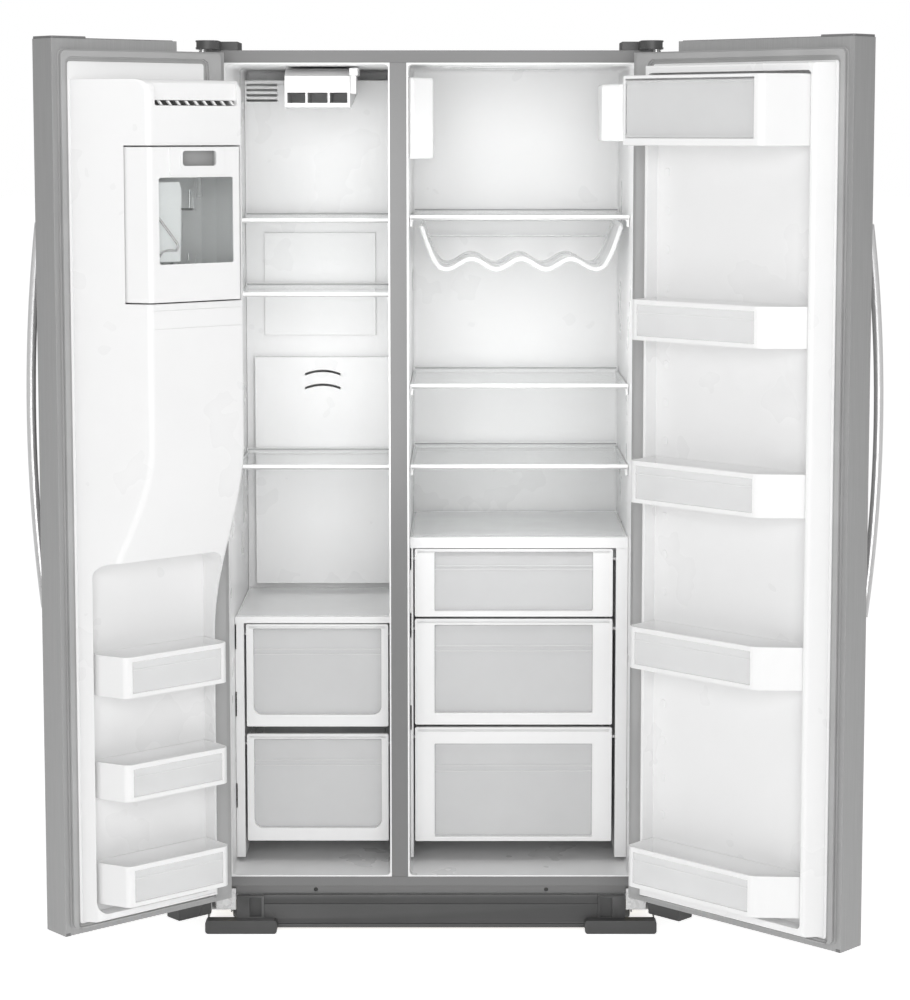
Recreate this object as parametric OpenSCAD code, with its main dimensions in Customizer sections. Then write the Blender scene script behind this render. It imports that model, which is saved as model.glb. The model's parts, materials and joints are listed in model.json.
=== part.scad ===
// Side by side refrigerator with both doors standing open.
// Cabinet frame: X across, Y towards the back from the cabinet's front edge,
// Z up from the floor.  Door frame: x runs from the hinge pin to the free edge,
// y runs inwards, z up.  The whole part is centred on its own open outline.

/* [Cabinet] */
// Width of the cabinet
cab_w = 908; // [850:1:920]
// Height of the cabinet without hinge covers
cab_h = 1775; // [1740:1:1800]
// Depth of the cabinet without doors
cab_d = 600; // [580:1:680]
// Thickness of the insulated side walls
side_wall = 51.6; // [45:0.1:60]
// Thickness of the insulated ceiling
top_wall = 27; // [24:1:40]
// Height of the compartment floors above the room floor
floor_z = 115; // [110:1:125]
// Centre of the divider between the compartments
mullion_x = -62.9; // [-80:0.1:-50]
// Thickness of the divider
mullion_w = 39; // [34:1:50]

/* [Doors] */
// Thickness of the doors
door_t = 72; // [64:1:80]
// Height of the door bottoms above the floor
door_z0 = 94.5; // [93:0.5:97]
// Height of the door tops above the floor
door_z1 = 1787; // [1780:1:1795]
// Gap between the two closed doors
door_gap = 5; // [4:1:8]
// Opening angle of the refrigerator door
fridge_open = 136.4; // [90:0.1:140]
// Opening angle of the freezer door
freezer_open = 139; // [90:0.1:142]
// Length of the door handles
handle_l = 730; // [500:10:760]
// How far the handles bow out from their ends
handle_bow = 40; // [20:1:50]

/* [Shelves] */
// Heights of the three freezer shelves
freezer_shelf_z = [1441, 1290, 935];
// Heights of the three refrigerator shelves
fridge_shelf_z = [1449, 1107, 942];
// Thickness of the shelf glass
glass_t = 4; // [3:0.5:6]
// Troughs in the bottle rack
rack_troughs = 4; // [3:1:5]

/* [Drawers] */
// Wall thickness of drawers and door bins
tub_t = 3; // [2.5:0.5:4]

/* [Hidden] */

$fn = 48;
eps = 0.5;

// ---- palette
steel_grey = [0.60, 0.61, 0.63];
white = [0.95, 0.95, 0.95];
clear = [0.86, 0.89, 0.90];
dark = [0.20, 0.20, 0.21];
rubber_grey = [0.55, 0.55, 0.56];
bright = [0.80, 0.80, 0.82];

// ---- cabinet layout
half_w = cab_w / 2;
skin = 1.5;
liner_t = 3;
fz_x0 = -half_w + side_wall;
fz_x1 = mullion_x - mullion_w / 2;
fr_x0 = mullion_x + mullion_w / 2;
fr_x1 = half_w - side_wall;
ceil_z = cab_h - top_wall;
base_top = floor_z - 22;
fz_back = 520;
fr_back = 500;
step_z = 345;
step_y = 420;
cover_y = 452;
corner_r = 8;

// ---- door layout, measured from the hinge pin
hinge_x = half_w - 14;
hinge_y = -60;
edge_a = 14;
in_b = 50;
out_b = in_b - door_t;
gasket_t = 9.6;
fr_door_w = half_w - mullion_x - door_gap / 2;
fz_door_w = half_w + mullion_x - door_gap / 2;
flange_w = 37;
dyke_a0 = 42;
dyke_b = 86;
dyke_z0 = 119;
dyke_z1 = 1741;
bin_b = 138;
bulge_b = 188;

// ---- frame: middle of the open outline
handle_inset = 24;
handle_r = 9;
handle_foot = 17;
handle_out = handle_foot + handle_bow + handle_r;
function reach_x(open, a, b) = hinge_x - a * cos(open) + b * sin(open);
function reach_y(open, a, b) = hinge_y - a * sin(open) + b * cos(open);
handle_reach = -out_b + handle_out;
right_x = reach_x(fridge_open, fr_door_w - edge_a - handle_inset, handle_reach);
left_x = reach_x(freezer_open, fz_door_w - edge_a - handle_inset, handle_reach);
front_y = reach_y(fridge_open, fr_door_w - edge_a, in_b);
frame_x = (right_x - left_x) / 2;
frame_y = (front_y + cab_d) / 2;

// ================================================== helpers

// The cabinet's own frame inside the part's frame
module in_cabinet() {
    translate([-frame_x, -frame_y, 0]) children();
}

// The freezer door's frame, turned open
module on_freezer_door() {
    in_cabinet() translate([-hinge_x, hinge_y, 0]) rotate([0, 0, -freezer_open])
        children();
}

// The refrigerator door's frame, turned open; it is the mirror of the other
module on_fridge_door() {
    in_cabinet() mirror([1, 0, 0]) translate([-hinge_x, hinge_y, 0])
        rotate([0, 0, -fridge_open]) children();
}

// The same thing on the right and mirrored on the left
module both_sides() {
    for (m = [0, 1]) mirror([m, 0, 0]) children();
}

// A box between two corners
module block(lo, hi) {
    translate(lo) cube(hi - lo);
}

// A flat outline in x and z, thickened from y0 to y1
module y_slab(y0, y1) {
    translate([0, y1, 0]) rotate([90, 0, 0]) linear_extrude(y1 - y0) children();
}

// A flat outline in x and y, thickened from z0 to z1
module z_slab(z0, z1) {
    translate([0, 0, z0]) linear_extrude(z1 - z0) children();
}

// A flat outline in y and z, thickened from x0 to x1
module x_slab(x0, x1) {
    translate([x0, 0, 0]) rotate([90, 0, 90]) linear_extrude(x1 - x0) children();
}

// A rectangle with round corners
module rounded(x0, z0, x1, z1, r) {
    translate([x0 + r, z0]) square([x1 - x0 - 2 * r, z1 - z0]);
    translate([x0, z0 + r]) square([x1 - x0, z1 - z0 - 2 * r]);
    for (x = [x0 + r, x1 - r], z = [z0 + r, z1 - r]) translate([x, z]) circle(r);
}

// A rectangle with only its two low corners round
module pocket_outline(x0, z0, x1, z1, r) {
    translate([x0, z0 + r]) square([x1 - x0, z1 - z0 - r]);
    translate([x0 + r, z0]) square([x1 - x0 - 2 * r, r * 2]);
    for (x = [x0 + r, x1 - r]) translate([x, z0 + r]) circle(r);
}

// A rod along x, y or z
module x_rod(x0, x1, y, z, r) {
    translate([x0, y, z]) rotate([0, 90, 0]) cylinder(h = x1 - x0, r = r);
}
module y_rod(y0, y1, x, z, r) {
    translate([x, y1, z]) rotate([90, 0, 0]) cylinder(h = y1 - y0, r = r);
}
module z_rod(z0, z1, x, y, r) {
    translate([x, y, z0]) cylinder(h = z1 - z0, r = r);
}

// ================================================== cabinet

// Steel sides with a front return, and the steel top
module cabinet_shell() {
    joint = 0.2;
    color(steel_grey) in_cabinet() {
        both_sides() {
            block([half_w - skin, 0, 20], [half_w, cab_d - skin, cab_h - skin - joint]);
            block([fr_x1 + liner_t, 0, base_top], [half_w - eps, skin, ceil_z + liner_t]);
        }
        block([-half_w, 0, cab_h - skin], [half_w, cab_d - skin, cab_h]);
        block([-half_w + skin + joint, 0, ceil_z + liner_t + joint],
            [half_w - skin - joint, skin, cab_h - eps]);
    }
}

// Flat rear sheet above the machine compartment, and its slotted cover below
module back_panel() {
    slot_pitch = 22;
    cover_x = 395;
    color(bright) in_cabinet() {
        block([-half_w, cab_d - skin, 332], [half_w, cab_d, cab_h]);
        difference() {
            block([-half_w, cab_d - skin, 42], [half_w, cab_d, 331]);
            for (x = [-cover_x : slot_pitch : cover_x], z = [90, 200])
                y_slab(cab_d - skin - 1, cab_d + 1) rounded(x - 4, z, x + 4, z + 80, 3.9);
            y_rod(cab_d - skin - 1, cab_d + 1, -inlet_x, inlet_z, 9);
            y_rod(cab_d - skin - 1, cab_d + 1, inlet_x, inlet_z, 13);
        }
    }
}

// Both compartments as plain boxes, with the step over the machine compartment
module compartment(x0, x1, back, grow) {
    block([x0 - grow, -1, step_z - grow], [x1 + grow, back + grow, ceil_z + grow]);
    block([x0 - grow, -1, floor_z - grow], [x1 + grow, step_y + grow, step_z + 1]);
}

// Rigid foam between the steel outside and the plastic liners
module foam_insulation() {
    color("khaki") in_cabinet() difference() {
        block([-half_w + skin, skin, base_top], [half_w - skin, cab_d - skin, cab_h - skin]);
        compartment(fz_x0, fz_x1, fz_back, liner_t);
        compartment(fr_x0, fr_x1, fr_back, liner_t);
        block([-half_w, 445, 0], [half_w, cab_d, 325]);
    }
}

// A plastic liner: square outside against the foam, round corners inside
module liner(x0, x1, back) {
    difference() {
        intersection() {
            compartment(x0, x1, back, liner_t);
            block([-half_w, 0, 0], [half_w, cab_d, cab_h]);
        }
        y_slab(-2, back) rounded(x0, step_z, x1, ceil_z, corner_r);
        y_slab(-2, step_y) rounded(x0, floor_z, x1, step_z + 80, corner_r);
    }
}

module freezer_liner() {
    color(white) in_cabinet() liner(fz_x0, fz_x1, fz_back);
}

module fridge_liner() {
    color(white) in_cabinet() liner(fr_x0, fr_x1, fr_back);
}

// Painted strips over the divider and under the openings
module front_rails() {
    color(steel_grey) in_cabinet() {
        block([fz_x1 + liner_t, 0, floor_z - liner_t + 0.2],
            [fr_x0 - liner_t, skin, ceil_z + liner_t]);
        block([-fr_x1 - liner_t, 0, base_top], [fr_x1 + liner_t, skin, floor_z - liner_t]);
        block([-half_w + skin, 4, 75], [half_w - skin, 6, base_top]);
    }
}

inlet_x = 330;
inlet_z = 66;
axle_r = 4;
wheel_r = 22;
wheel_x = 400;
wheel_w = 18;
front_axle_y = 90;
rear_axle_y = 545;
leg_x = 350;
leg_y = 30;
stud_r = 5;

// Steel rails under the foam with the axles and the leg nuts
module base_chassis() {
    rail_z = 46;
    color(bright) in_cabinet() {
        difference() {
            union() {
                both_sides()
                    block([half_w - 22, 8, rail_z], [half_w - skin, cab_d - skin, base_top]);
                block([-half_w + 22 - 1, 8, 62], [half_w - 22 + 1, 52, base_top]);
                block([-half_w + 22 - 1, cab_d - 5.5, rail_z],
                    [half_w - 22 + 1, cab_d - skin, 53]);
                block([-half_w + 22 - 1, 445, rail_z], [half_w - 22 + 1, cab_d - 5, 50]);
                both_sides() for (y = [front_axle_y, rear_axle_y]) {
                    for (x = [wheel_x - 14, wheel_x + 11])
                        block([x, y - 12, 14], [x + 3, y + 12, rail_z + 4]);
                    block([wheel_x - 14, y - 12, rail_z], [half_w - 21, y + 12, 50]);
                }
            }
            for (side = [-1, 1]) z_rod(40, base_top + 1, side * leg_x, leg_y, stud_r + 0.06);
        }
        both_sides() for (y = [front_axle_y, rear_axle_y])
            x_rod(wheel_x - 13, wheel_x + 13, y, wheel_r, axle_r);
    }
}

// Dark kick plate over a ribbed strip, with two recessed ends and two boots before the legs
module base_grille() {
    grille_x = 340;
    end_x = 394;
    boot_x0 = 312;
    boot_x1 = 457;
    boot_h = 27;
    color(dark) in_cabinet() {
        // plate in two steps
        block([-grille_x, -4, 16], [grille_x, 2, 56]);
        block([-grille_x, -2, 55], [grille_x, 2, 75]);
        // strip set back under the plate
        block([-boot_x0 - 1, 1, 16], [boot_x0 + 1, 12, 19]);
        block([-boot_x0 - 1, 9, 3], [boot_x0 + 1, 12, 17]);
        block([-boot_x0 - 1, 6, 8], [boot_x0 + 1, 10, 11]);
        both_sides() {
            // end with a recess
            difference() {
                block([grille_x - 1, -8, boot_h - 2], [end_x, 2, 74]);
                block([grille_x + 4, -9, boot_h + 4], [grille_x + 28, -3, 70]);
            }
            // boot, hollow and open below
            difference() {
                y_slab(-27, -0.4) rounded(boot_x0, 0.6, boot_x1, boot_h + 1, 6);
                block([boot_x0 + 4, -23, -1], [boot_x1 - 4, 3, boot_h - 3]);
            }
        }
    }
}

// ================================================== cooling machine

module compressor() {
    cx = -250;
    cy = 515;
    color(dark) in_cabinet() {
        for (x = [cx - 62, cx + 62]) z_rod(50, 62, x, cy, 14);
        block([cx - 82, cy - 38, 62], [cx + 82, cy + 38, 65]);
        z_rod(65, 150, cx, cy, 58);
        translate([cx, cy, 150]) rotate_extrude()
            intersection() {
                circle(58);
                square([60, 60]);
            }
        block([cx + 56, cy - 24, 92], [cx + 78, cy + 24, 150]);
        for (s = [-1, 1]) z_rod(180, 236, cx + s * 24, cy, 4);
    }
}

// Finned condenser and the frame of its fan
module condenser() {
    x0 = 10;
    x1 = 190;
    fan_x = 250;
    color(dark) in_cabinet() {
        for (x = [x0 : 20 : x1]) block([x, 470, 56], [x + 1.6, 575, 200]);
        for (z = [80, 120, 160], y = [490, 550]) x_rod(x0 - 8, x1 + 12, y, z, 4.5);
        block([x0 - 2, 470, 50], [x1 + 4, 575, 56.5]);
        difference() {
            block([fan_x - 12, 455, 50], [fan_x + 12, 590, 205]);
            x_rod(fan_x - 13, fan_x + 13, 522, 128, 58);
        }
        block([fan_x - 10, 516, 65], [fan_x - 6, 528, 195]);
        x_rod(fan_x - 12, fan_x - 6, 522, 128, 20);
        x_rod(fan_x - 7, fan_x + 9, 522, 128, 3);
    }
}

// Blades on a hub; the bore turns on the motor's shaft
module fan_wheel(hub_r, tip_r, depth, shaft_r) {
    difference() {
        union() {
            cylinder(h = depth, r = hub_r);
            for (k = [0 : 4]) rotate([0, 0, k * 72]) translate([hub_r - 3, 0, depth / 2])
                rotate([28, 0, 0]) translate([0, -hub_r * 0.75, -1])
                    cube([tip_r - hub_r, hub_r * 1.5, 2]);
        }
        translate([0, 0, -1]) cylinder(h = depth + 2, r = shaft_r + 0.06);
    }
}

module condenser_fan() {
    color(dark) in_cabinet() translate([247, 522, 128]) rotate([0, 90, 0])
        fan_wheel(18, 52, 12, 3);
}

// Finned evaporator behind the freezer's rear cover, with the fan's motor
module evaporator() {
    x0 = -385;
    x1 = -100;
    color("silver") in_cabinet() {
        for (x = [x0 : 15 : x1]) block([x, 462, 700], [x + 1.4, 510, 1020]);
        for (z = [730 : 60 : 1010]) x_rod(x0 - 8, x1 + 9, 486, z, 4);
        block([-302, 500, 1180], [-182, 506, 1300]);
        block([-310, 500, 1236], [-174, fz_back, 1244]);
        y_rod(486, 501, -242, 1240, 22);
        y_rod(462, 487, -242, 1240, 3);
    }
}

module evaporator_fan() {
    color(white) in_cabinet() translate([-242, 484, 1240]) rotate([90, 0, 0])
        fan_wheel(18, 50, 14, 3);
}

// Rear cover of the freezer: upper panel with slots, lower duct with arched vents
module evaporator_cover() {
    x0 = fz_x0 + 0.5;
    x1 = fz_x1 - 0.5;
    duct_x0 = -383;
    duct_z0 = 640;
    duct_z1 = 1133;
    vent_x = -237;
    color(white) in_cabinet() {
        difference() {
            block([x0, cover_y, 368], [x1, cover_y + 3, 1725]);
            for (k = [0 : 3]) y_slab(cover_y - 1, cover_y + 4)
                rounded(x0 + 4, 1680 + k * 11, -332, 1685 + k * 11, 2.4);
            block([duct_x0 + 3, cover_y - 1, duct_z0 + 3], [x1 - 8, cover_y + 4, duct_z1 - 3]);
        }
        difference() {
            block([duct_x0, 430, duct_z0], [x1 - 5, cover_y + 1, duct_z1]);
            block([duct_x0 + 3, 433, duct_z0 + 3], [x1 - 8, cover_y + 2, duct_z1 - 3]);
            for (z = [1068, 1098]) y_slab(429, 434) intersection() {
                difference() {
                    translate([vent_x, z - 90]) circle(98, $fn = 96);
                    translate([vent_x, z - 95]) circle(98, $fn = 96);
                }
                translate([vent_x - 38, z - 20]) square([76, 40]);
            }
        }
        difference() {
            block([x0 + 40, cover_y - 8, 1180], [x1 - 40, cover_y + 1, 1400]);
            block([x0 + 43, cover_y - 5, 1183], [x1 - 43, cover_y + 2, 1397]);
        }
    }
}

// Housing under the freezer ceiling that blows towards the ice maker in the door
module air_duct() {
    x0 = -296;
    x1 = -164;
    color(white) in_cabinet() {
        difference() {
            x_slab(x0, x1) polygon([[150, 1666], [150, 1728], [190, 1744], [cover_y - 1, 1744],
                [cover_y - 1, 1690], [200, 1662]]);
            block([x0 + 5, 140, 1674], [x0 + 42, 300, 1695]);
            block([x0 + 46, 140, 1674], [x0 + 87, 300, 1695]);
            block([x0 + 91, 140, 1674], [x1 - 5, 300, 1695]);
        }
        block([x1 + 0.2, 160, 1693], [x1 + 12, 230, 1730]);
        block([x1 - 1, 150, 1730], [x1 + 16, 250, 1744]);
    }
}

// ================================================== shelves

// A glass plate between a front and a rear trim, with side rails
module glass_shelf(x0, x1, y0, y1, z, trim_h) {
    block([x0 + 3, y0 + 4, z - glass_t - 1], [x1 - 3, y1 - 4, z - 1]);
    block([x0, y0, z - trim_h], [x1, y0 + 12, z]);
    block([x0, y1 - 12, z - 12], [x1, y1, z + 3]);
    for (x = [x0, x1 - 8]) block([x, y0 + 11, z - 16], [x + 8, y1 - 11, z - glass_t - 0.9]);
}

module freezer_shelves() {
    depth = [440, 440, 426];
    color(clear) in_cabinet() for (k = [0 : 2])
        glass_shelf(fz_x0 + 1.4, fz_x1 - 1.4, 150, depth[k], freezer_shelf_z[k], 14);
}

module fridge_shelf(k) {
    color(clear) in_cabinet()
        glass_shelf(fr_x0 + 1.4, fr_x1 - 1.4, 100, 470, fridge_shelf_z[k], 18);
}
module fridge_shelf_upper() { fridge_shelf(0); }
module fridge_shelf_middle() { fridge_shelf(1); }
module fridge_shelf_lower() { fridge_shelf(2); }

// Wavy rack for bottles, hung under the upper shelf
rack_x0 = -21;
rack_x1 = 387;
rack_mid = 1349.5;
rack_amp = 10.5;
rack_rise = 66;
function rack_u(x) = (x - rack_x0) / (rack_x1 - rack_x0);
function rack_z(x) = let (u = rack_u(x), lip = max(0, abs(2 * u - 1) - 0.8) / 0.2)
    rack_mid - rack_amp * cos(360 * rack_troughs * (u - 0.5) + 180 * rack_troughs + 180)
    + rack_rise * lip * lip;
module bottle_rack() {
    steps = 72;
    t = 5;
    xs = [for (i = [0 : steps]) rack_x0 + i * (rack_x1 - rack_x0) / steps];
    color(clear) in_cabinet() {
        y_slab(112, 420) polygon(concat([for (x = xs) [x, rack_z(x)]],
            [for (i = [steps : -1 : 0]) [xs[i], rack_z(xs[i]) - t]]));
        for (x = [rack_x0, rack_x1 - 4])
            block([x, 112, rack_z(x) - 3], [x + 4, 420, fridge_shelf_z[0] - 16.3]);
    }
}

// ================================================== drawers and their frames

drawer_y = 97;
fz_drawer_x0 = -379;
fz_drawer_x1 = fz_x1 - 6;
fr_drawer_x0 = fr_x0 + 10;
fr_drawer_x1 = 371;
// lowest and highest point, back, window from and to: one row a drawer, top first
fz_drawers = [[400, 613, 440, 424, 604], [160, 384, 412, 186, 374]];
fr_drawers = [[629, 769, 450, 640, 762], [404, 624, 450, 428, 612], [159, 398, 412, 168, 364]];
tub_drop = 16;
lip_t = 4;
tub_inset = 7;
function lip_z(row) = row[1] - tub_drop - lip_t;

// A clear tub behind a white front with a window
module drawer(x0, x1, row, stile, corner) {
    front_t = 12;
    z0 = row[0];
    z1 = row[1];
    back = row[2];
    difference() {
        union() {
            block([x0, drawer_y, z0], [x1, drawer_y + front_t, z1]);
            block([x0 + tub_inset, drawer_y + 6, z0 + 4], [x1 - tub_inset, back, z1 - tub_drop]);
            block([x0 + 1, drawer_y + 6, lip_z(row)], [x1 - 1, back, z1 - tub_drop]);
        }
        block([x0 + tub_inset + tub_t, drawer_y + front_t, z0 + 4 + tub_t],
            [x1 - tub_inset - tub_t, back - tub_t, z1 + 1]);
        y_slab(drawer_y - 1, drawer_y + front_t - tub_t)
            pocket_outline(x0 + stile, row[3], x1 - stile, row[4], corner);
    }
}

module freezer_drawer_upper() {
    color(white) in_cabinet() drawer(fz_drawer_x0, fz_drawer_x1, fz_drawers[0], 14, 18);
}
module freezer_drawer_lower() {
    color(white) in_cabinet() drawer(fz_drawer_x0, fz_drawer_x1, fz_drawers[1], 14, 18);
}
module crisper_upper() {
    color(clear) in_cabinet() drawer(fr_drawer_x0, fr_drawer_x1, fr_drawers[0], 40, 3);
}
module crisper_middle() {
    color(clear) in_cabinet() drawer(fr_drawer_x0, fr_drawer_x1, fr_drawers[1], 40, 3);
}
module crisper_lower() {
    color(clear) in_cabinet() drawer(fr_drawer_x0, fr_drawer_x1, fr_drawers[2], 40, 3);
}

// Glass lid over a stack of drawers, on two side walls with a runner under each lip
module drawer_frame(x0, x1, wall_l, wall_r, in_x0, in_x1, rows, lid_z, lid_h, back) {
    side_back = step_y - 4;
    clear_of_corner = corner_r + 2;
    block([x0, drawer_y - 2, lid_z - lid_h], [x1, drawer_y + 12, lid_z]);
    block([x0, back - 10, lid_z - 14], [x1, back, lid_z]);
    block([x0 + 3, drawer_y + 8, lid_z - 6], [x1 - 3, back - 6, lid_z - 2]);
    for (s = [[x0, x0 + wall_l], [x1 - wall_r, x1]]) {
        block([s[0], drawer_y, floor_z + clear_of_corner], [s[1], side_back, lid_z - 3]);
        block([s[0], side_back - 1, step_z + clear_of_corner], [s[1], back, lid_z - 3]);
    }
    for (row = rows) {
        z = lip_z(row) - 0.3;
        block([x0 + wall_l - 1, drawer_y + 16, z - 5], [in_x0 + tub_inset - 1.5, side_back, z]);
        block([in_x1 - tub_inset + 1.5, drawer_y + 16, z - 5], [x1 - wall_r + 1, side_back, z]);
    }
}

module freezer_drawer_frame() {
    color(white) in_cabinet() drawer_frame(fz_x0 + 0.6, fz_x1 - 0.6, 18, 1.8,
        fz_drawer_x0, fz_drawer_x1, fz_drawers, 629, 13, 445);
}
module crisper_frame() {
    color(white) in_cabinet() drawer_frame(fr_x0 + 0.6, fr_x1 - 0.6, 6, 24,
        fr_drawer_x0, fr_drawer_x1, fr_drawers, 793, 22, 465);
}

// Covers of the controls and lamps in the two upper corners
module control_covers() {
    color(white) in_cabinet() {
        z_slab(1562, 1724) polygon([[fr_x0 + 0.4, 70], [fr_x0 + 10, 70], [fr_x0 + 48, 130],
            [fr_x0 + 48, 310], [fr_x0 + 0.4, 330]]);
        z_slab(1597, 1712) polygon([[fr_x1 - 0.4, 128], [fr_x1 - 22, 128], [fr_x1 - 56, 165],
            [fr_x1 - 56, 300], [fr_x1 - 0.4, 320]]);
    }
}

// ================================================== hinges and feet

pin_r = 6;
hinge_plate_z = cab_h;
notch_z = cab_h - 7;
notch_a = 96;

// Four hinges: a plate with a pin above and below each door
module door_hinges() {
    color(bright) in_cabinet() both_sides() {
        z_slab(hinge_plate_z, hinge_plate_z + 4) {
            translate([hinge_x, hinge_y]) circle(14);
            translate([hinge_x - 14, hinge_y]) square([28, 68]);
            translate([hinge_x - 50, 6]) square([60, 84]);
        }
        z_rod(notch_z - 30, hinge_plate_z + 1, hinge_x, hinge_y, pin_r);
        z_slab(82, 88) {
            translate([hinge_x, hinge_y]) circle(14);
            translate([hinge_x - 14, hinge_y]) square([26, 62]);
        }
        z_slab(44, 88) translate([hinge_x - 44, -3]) square([56, 5]);
        x_slab(hinge_x - 4, hinge_x + 4) polygon([[-3, 46], [-3, 83], [-40, 83]]);
        z_rod(88 - eps, door_z0 + 28, hinge_x, hinge_y, pin_r);
    }
}

// Low covers over the upper hinges
module hinge_covers() {
    z0 = hinge_plate_z + 0.2;
    z1 = hinge_plate_z + 17;
    color(dark) in_cabinet() both_sides() difference() {
        z_slab(z0, z1) {
            translate([hinge_x - 8, hinge_y + 1]) circle(22);
            translate([hinge_x - 30, hinge_y + 1]) square([44, 62]);
            translate([hinge_x - 62, 0.5]) square([76, 106]);
        }
        z_slab(z0 - 1, z1 - 3) {
            translate([hinge_x, hinge_y]) circle(14.6);
            translate([hinge_x - 14.6, hinge_y]) square([29.2, 70]);
            translate([hinge_x - 56, 3]) square([67, 98]);
        }
    }
}

// Water valve with its inlet stub, and the gland of the mains lead
module rear_inlets() {
    color(white) in_cabinet() {
        block([inlet_x - 18, 535, 50.2], [inlet_x + 18, 594, 84]);
        y_rod(593, cab_d + 2, inlet_x, inlet_z, 12.4);
        y_rod(cab_d + 1, cab_d + 16, inlet_x, inlet_z, 5.5);
        difference() {
            union() {
                y_rod(590, cab_d + 8, -inlet_x, inlet_z, 8.8);
                y_rod(cab_d + 0.1, cab_d + 8, -inlet_x, inlet_z, 14);
            }
            y_rod(589, cab_d + 9, -inlet_x, inlet_z, 4.2);
        }
    }
}

module wheel(y) {
    difference() {
        union() {
            x_rod(wheel_x - wheel_w / 2, wheel_x + wheel_w / 2, y, wheel_r, wheel_r - 2);
            x_rod(wheel_x - wheel_w / 2 + 2, wheel_x + wheel_w / 2 - 2, y, wheel_r, wheel_r);
        }
        x_rod(wheel_x - 20, wheel_x + 20, y, wheel_r, axle_r + 0.06);
        for (k = [0 : 4]) translate([0, y, wheel_r]) rotate([k * 72, 0, 0])
            x_rod(wheel_x - 20, wheel_x + 20, 12, 0, 3);
    }
}
module front_rollers() {
    color(dark) in_cabinet() both_sides() wheel(front_axle_y);
}
module rear_rollers() {
    color(dark) in_cabinet() both_sides() wheel(rear_axle_y);
}

// Levelling leg: a pad with a nut under a stud
module leg(side) {
    color(dark) in_cabinet() translate([side * leg_x, leg_y, 0]) {
        cylinder(h = 6, r = 17);
        translate([0, 0, 5]) cylinder(h = 6, r = 13);
        translate([0, 0, 10]) cylinder(h = 9, r = 10, $fn = 6);
        translate([0, 0, 18]) cylinder(h = 60, r = stud_r);
    }
}
module leg_left() { leg(-1); }
module leg_right() { leg(1); }

// ================================================== doors

door_skin = 1.5;

// Outline of a door seen from above, drawn in by an inset on all sides
module door_outline(w, inset) {
    r = 10 - inset;
    a0 = -edge_a + inset;
    a1 = w - edge_a - inset;
    b0 = out_b + inset;
    translate([a0, b0 + r]) square([a1 - a0, in_b - b0 - r]);
    translate([a0 + r, b0]) square([a1 - a0 - 2 * r, in_b - b0]);
    for (a = [a0 + r, a1 - r]) translate([a, b0 + r]) circle(r);
}

// A door's solid shape with the step for the upper hinge, drawn in by an inset
module door_body(w, inset) {
    difference() {
        z_slab(door_z0 + inset, door_z1 - inset) door_outline(w, inset);
        block([-edge_a - 1, out_b - 1, notch_z - inset], [notch_a + inset, in_b + 1, cab_h * 2]);
    }
}

// Room for the foam inside a pan, open through its inner face where the liner goes
module door_room(w, depth) {
    difference() {
        door_body(w, door_skin);
        block([-edge_a - 1, in_b - door_skin, 0], [w, in_b + 1, cab_h * 2]);
    }
    y_slab(in_b - door_skin - 1, depth)
        rounded(dyke_a0 - 1, dyke_z0, w - edge_a - flange_w + 1, dyke_z1, 5);
}

// Steel pan of a door with a return under the seal; the hinge pins turn in its ends
module door_pan(w) {
    difference() {
        door_body(w, 0);
        difference() {
            door_room(w, in_b + 1);
            z_rod(notch_z - 24, notch_z, 0, 0, 12);
            z_rod(door_z0, door_z0 + 24, 0, 0, 12);
        }
        z_rod(notch_z - 31, notch_z + 1, 0, 0, pin_r + 0.06);
        z_rod(door_z0 - 1, door_z0 + 29, 0, 0, pin_r + 0.06);
    }
}

// Foam inside the pan
module door_core(w) {
    difference() {
        door_room(w, in_b);
        z_rod(notch_z - 32, notch_z, 0, 0, 12);
        z_rod(door_z0, door_z0 + 32, 0, 0, 12);
    }
}

// Soft seal in the shape of a frame
module gasket(w) {
    y_slab(in_b, in_b + gasket_t) difference() {
        rounded(11 - edge_a, 106, w - edge_a - 11, 1768, 12);
        rounded(dyke_a0 - 6, dyke_z0 - 5, w - edge_a - flange_w + 6, dyke_z1 + 5, 6);
    }
}

// Bowed bar on two feet
module handle(a) {
    half = handle_l / 2;
    mid_z = 1080;
    bow_r = (half * half + handle_bow * handle_bow) / (2 * handle_bow);
    span = 2 * asin(half / bow_r);
    b_mid = out_b - handle_foot - handle_bow;
    translate([a, b_mid + bow_r, mid_z]) rotate([0, 90, 0]) rotate([0, 0, -90 - span / 2])
        rotate_extrude(angle = span, $fn = 360) translate([bow_r, 0]) circle(handle_r);
    for (s = [-1, 1]) {
        y_rod(out_b - handle_foot, out_b - 0.1, a, mid_z + s * (half - 8), 9);
        y_rod(out_b - 3, out_b, a, mid_z + s * (half - 8), 13);
    }
}

// ---- freezer door
deep_z = 1040;
shallow_z = 640;
fz_dyke_a1 = 331;
fz_front_a1 = 256;
ice_z0 = 1302;
ice_z1 = 1588;
bay_a1 = 283;
bay_b0 = 62;
disp_a0 = 85;
disp_a1 = 275;
disp_mid = (disp_a0 + disp_a1) / 2;
disp_z0 = 985;
disp_z1 = 1285;
disp_b1 = out_b + 58;
chute_w = 56;

function ease(u) = (1 - cos(180 * u)) / 2;
function bulge_at(z) = let (u = max(0, min(1, (z - shallow_z) / (deep_z - shallow_z))))
    dyke_b + (bulge_b - dyke_b) * ease(u);

// Opening through the door from the ice bay down to the dispenser
module chute(grow) {
    half = chute_w / 2 + grow;
    x_slab(disp_mid - half, disp_mid + half) polygon([[disp_b1 - 8, 1234 - grow],
        [disp_b1 - 8, 1276 + grow], [in_b + 14, 1340], [in_b + 52 + grow, 1340],
        [in_b + 52 + grow, 1282 - grow], [in_b + 10, 1234 - grow]]);
}

module freezer_door_shell() {
    color(steel_grey) on_freezer_door() difference() {
        door_pan(fz_door_w);
        y_slab(out_b - 1, disp_b1) rounded(disp_a0, disp_z0, disp_a1, disp_z1, 8);
    }
}

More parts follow.
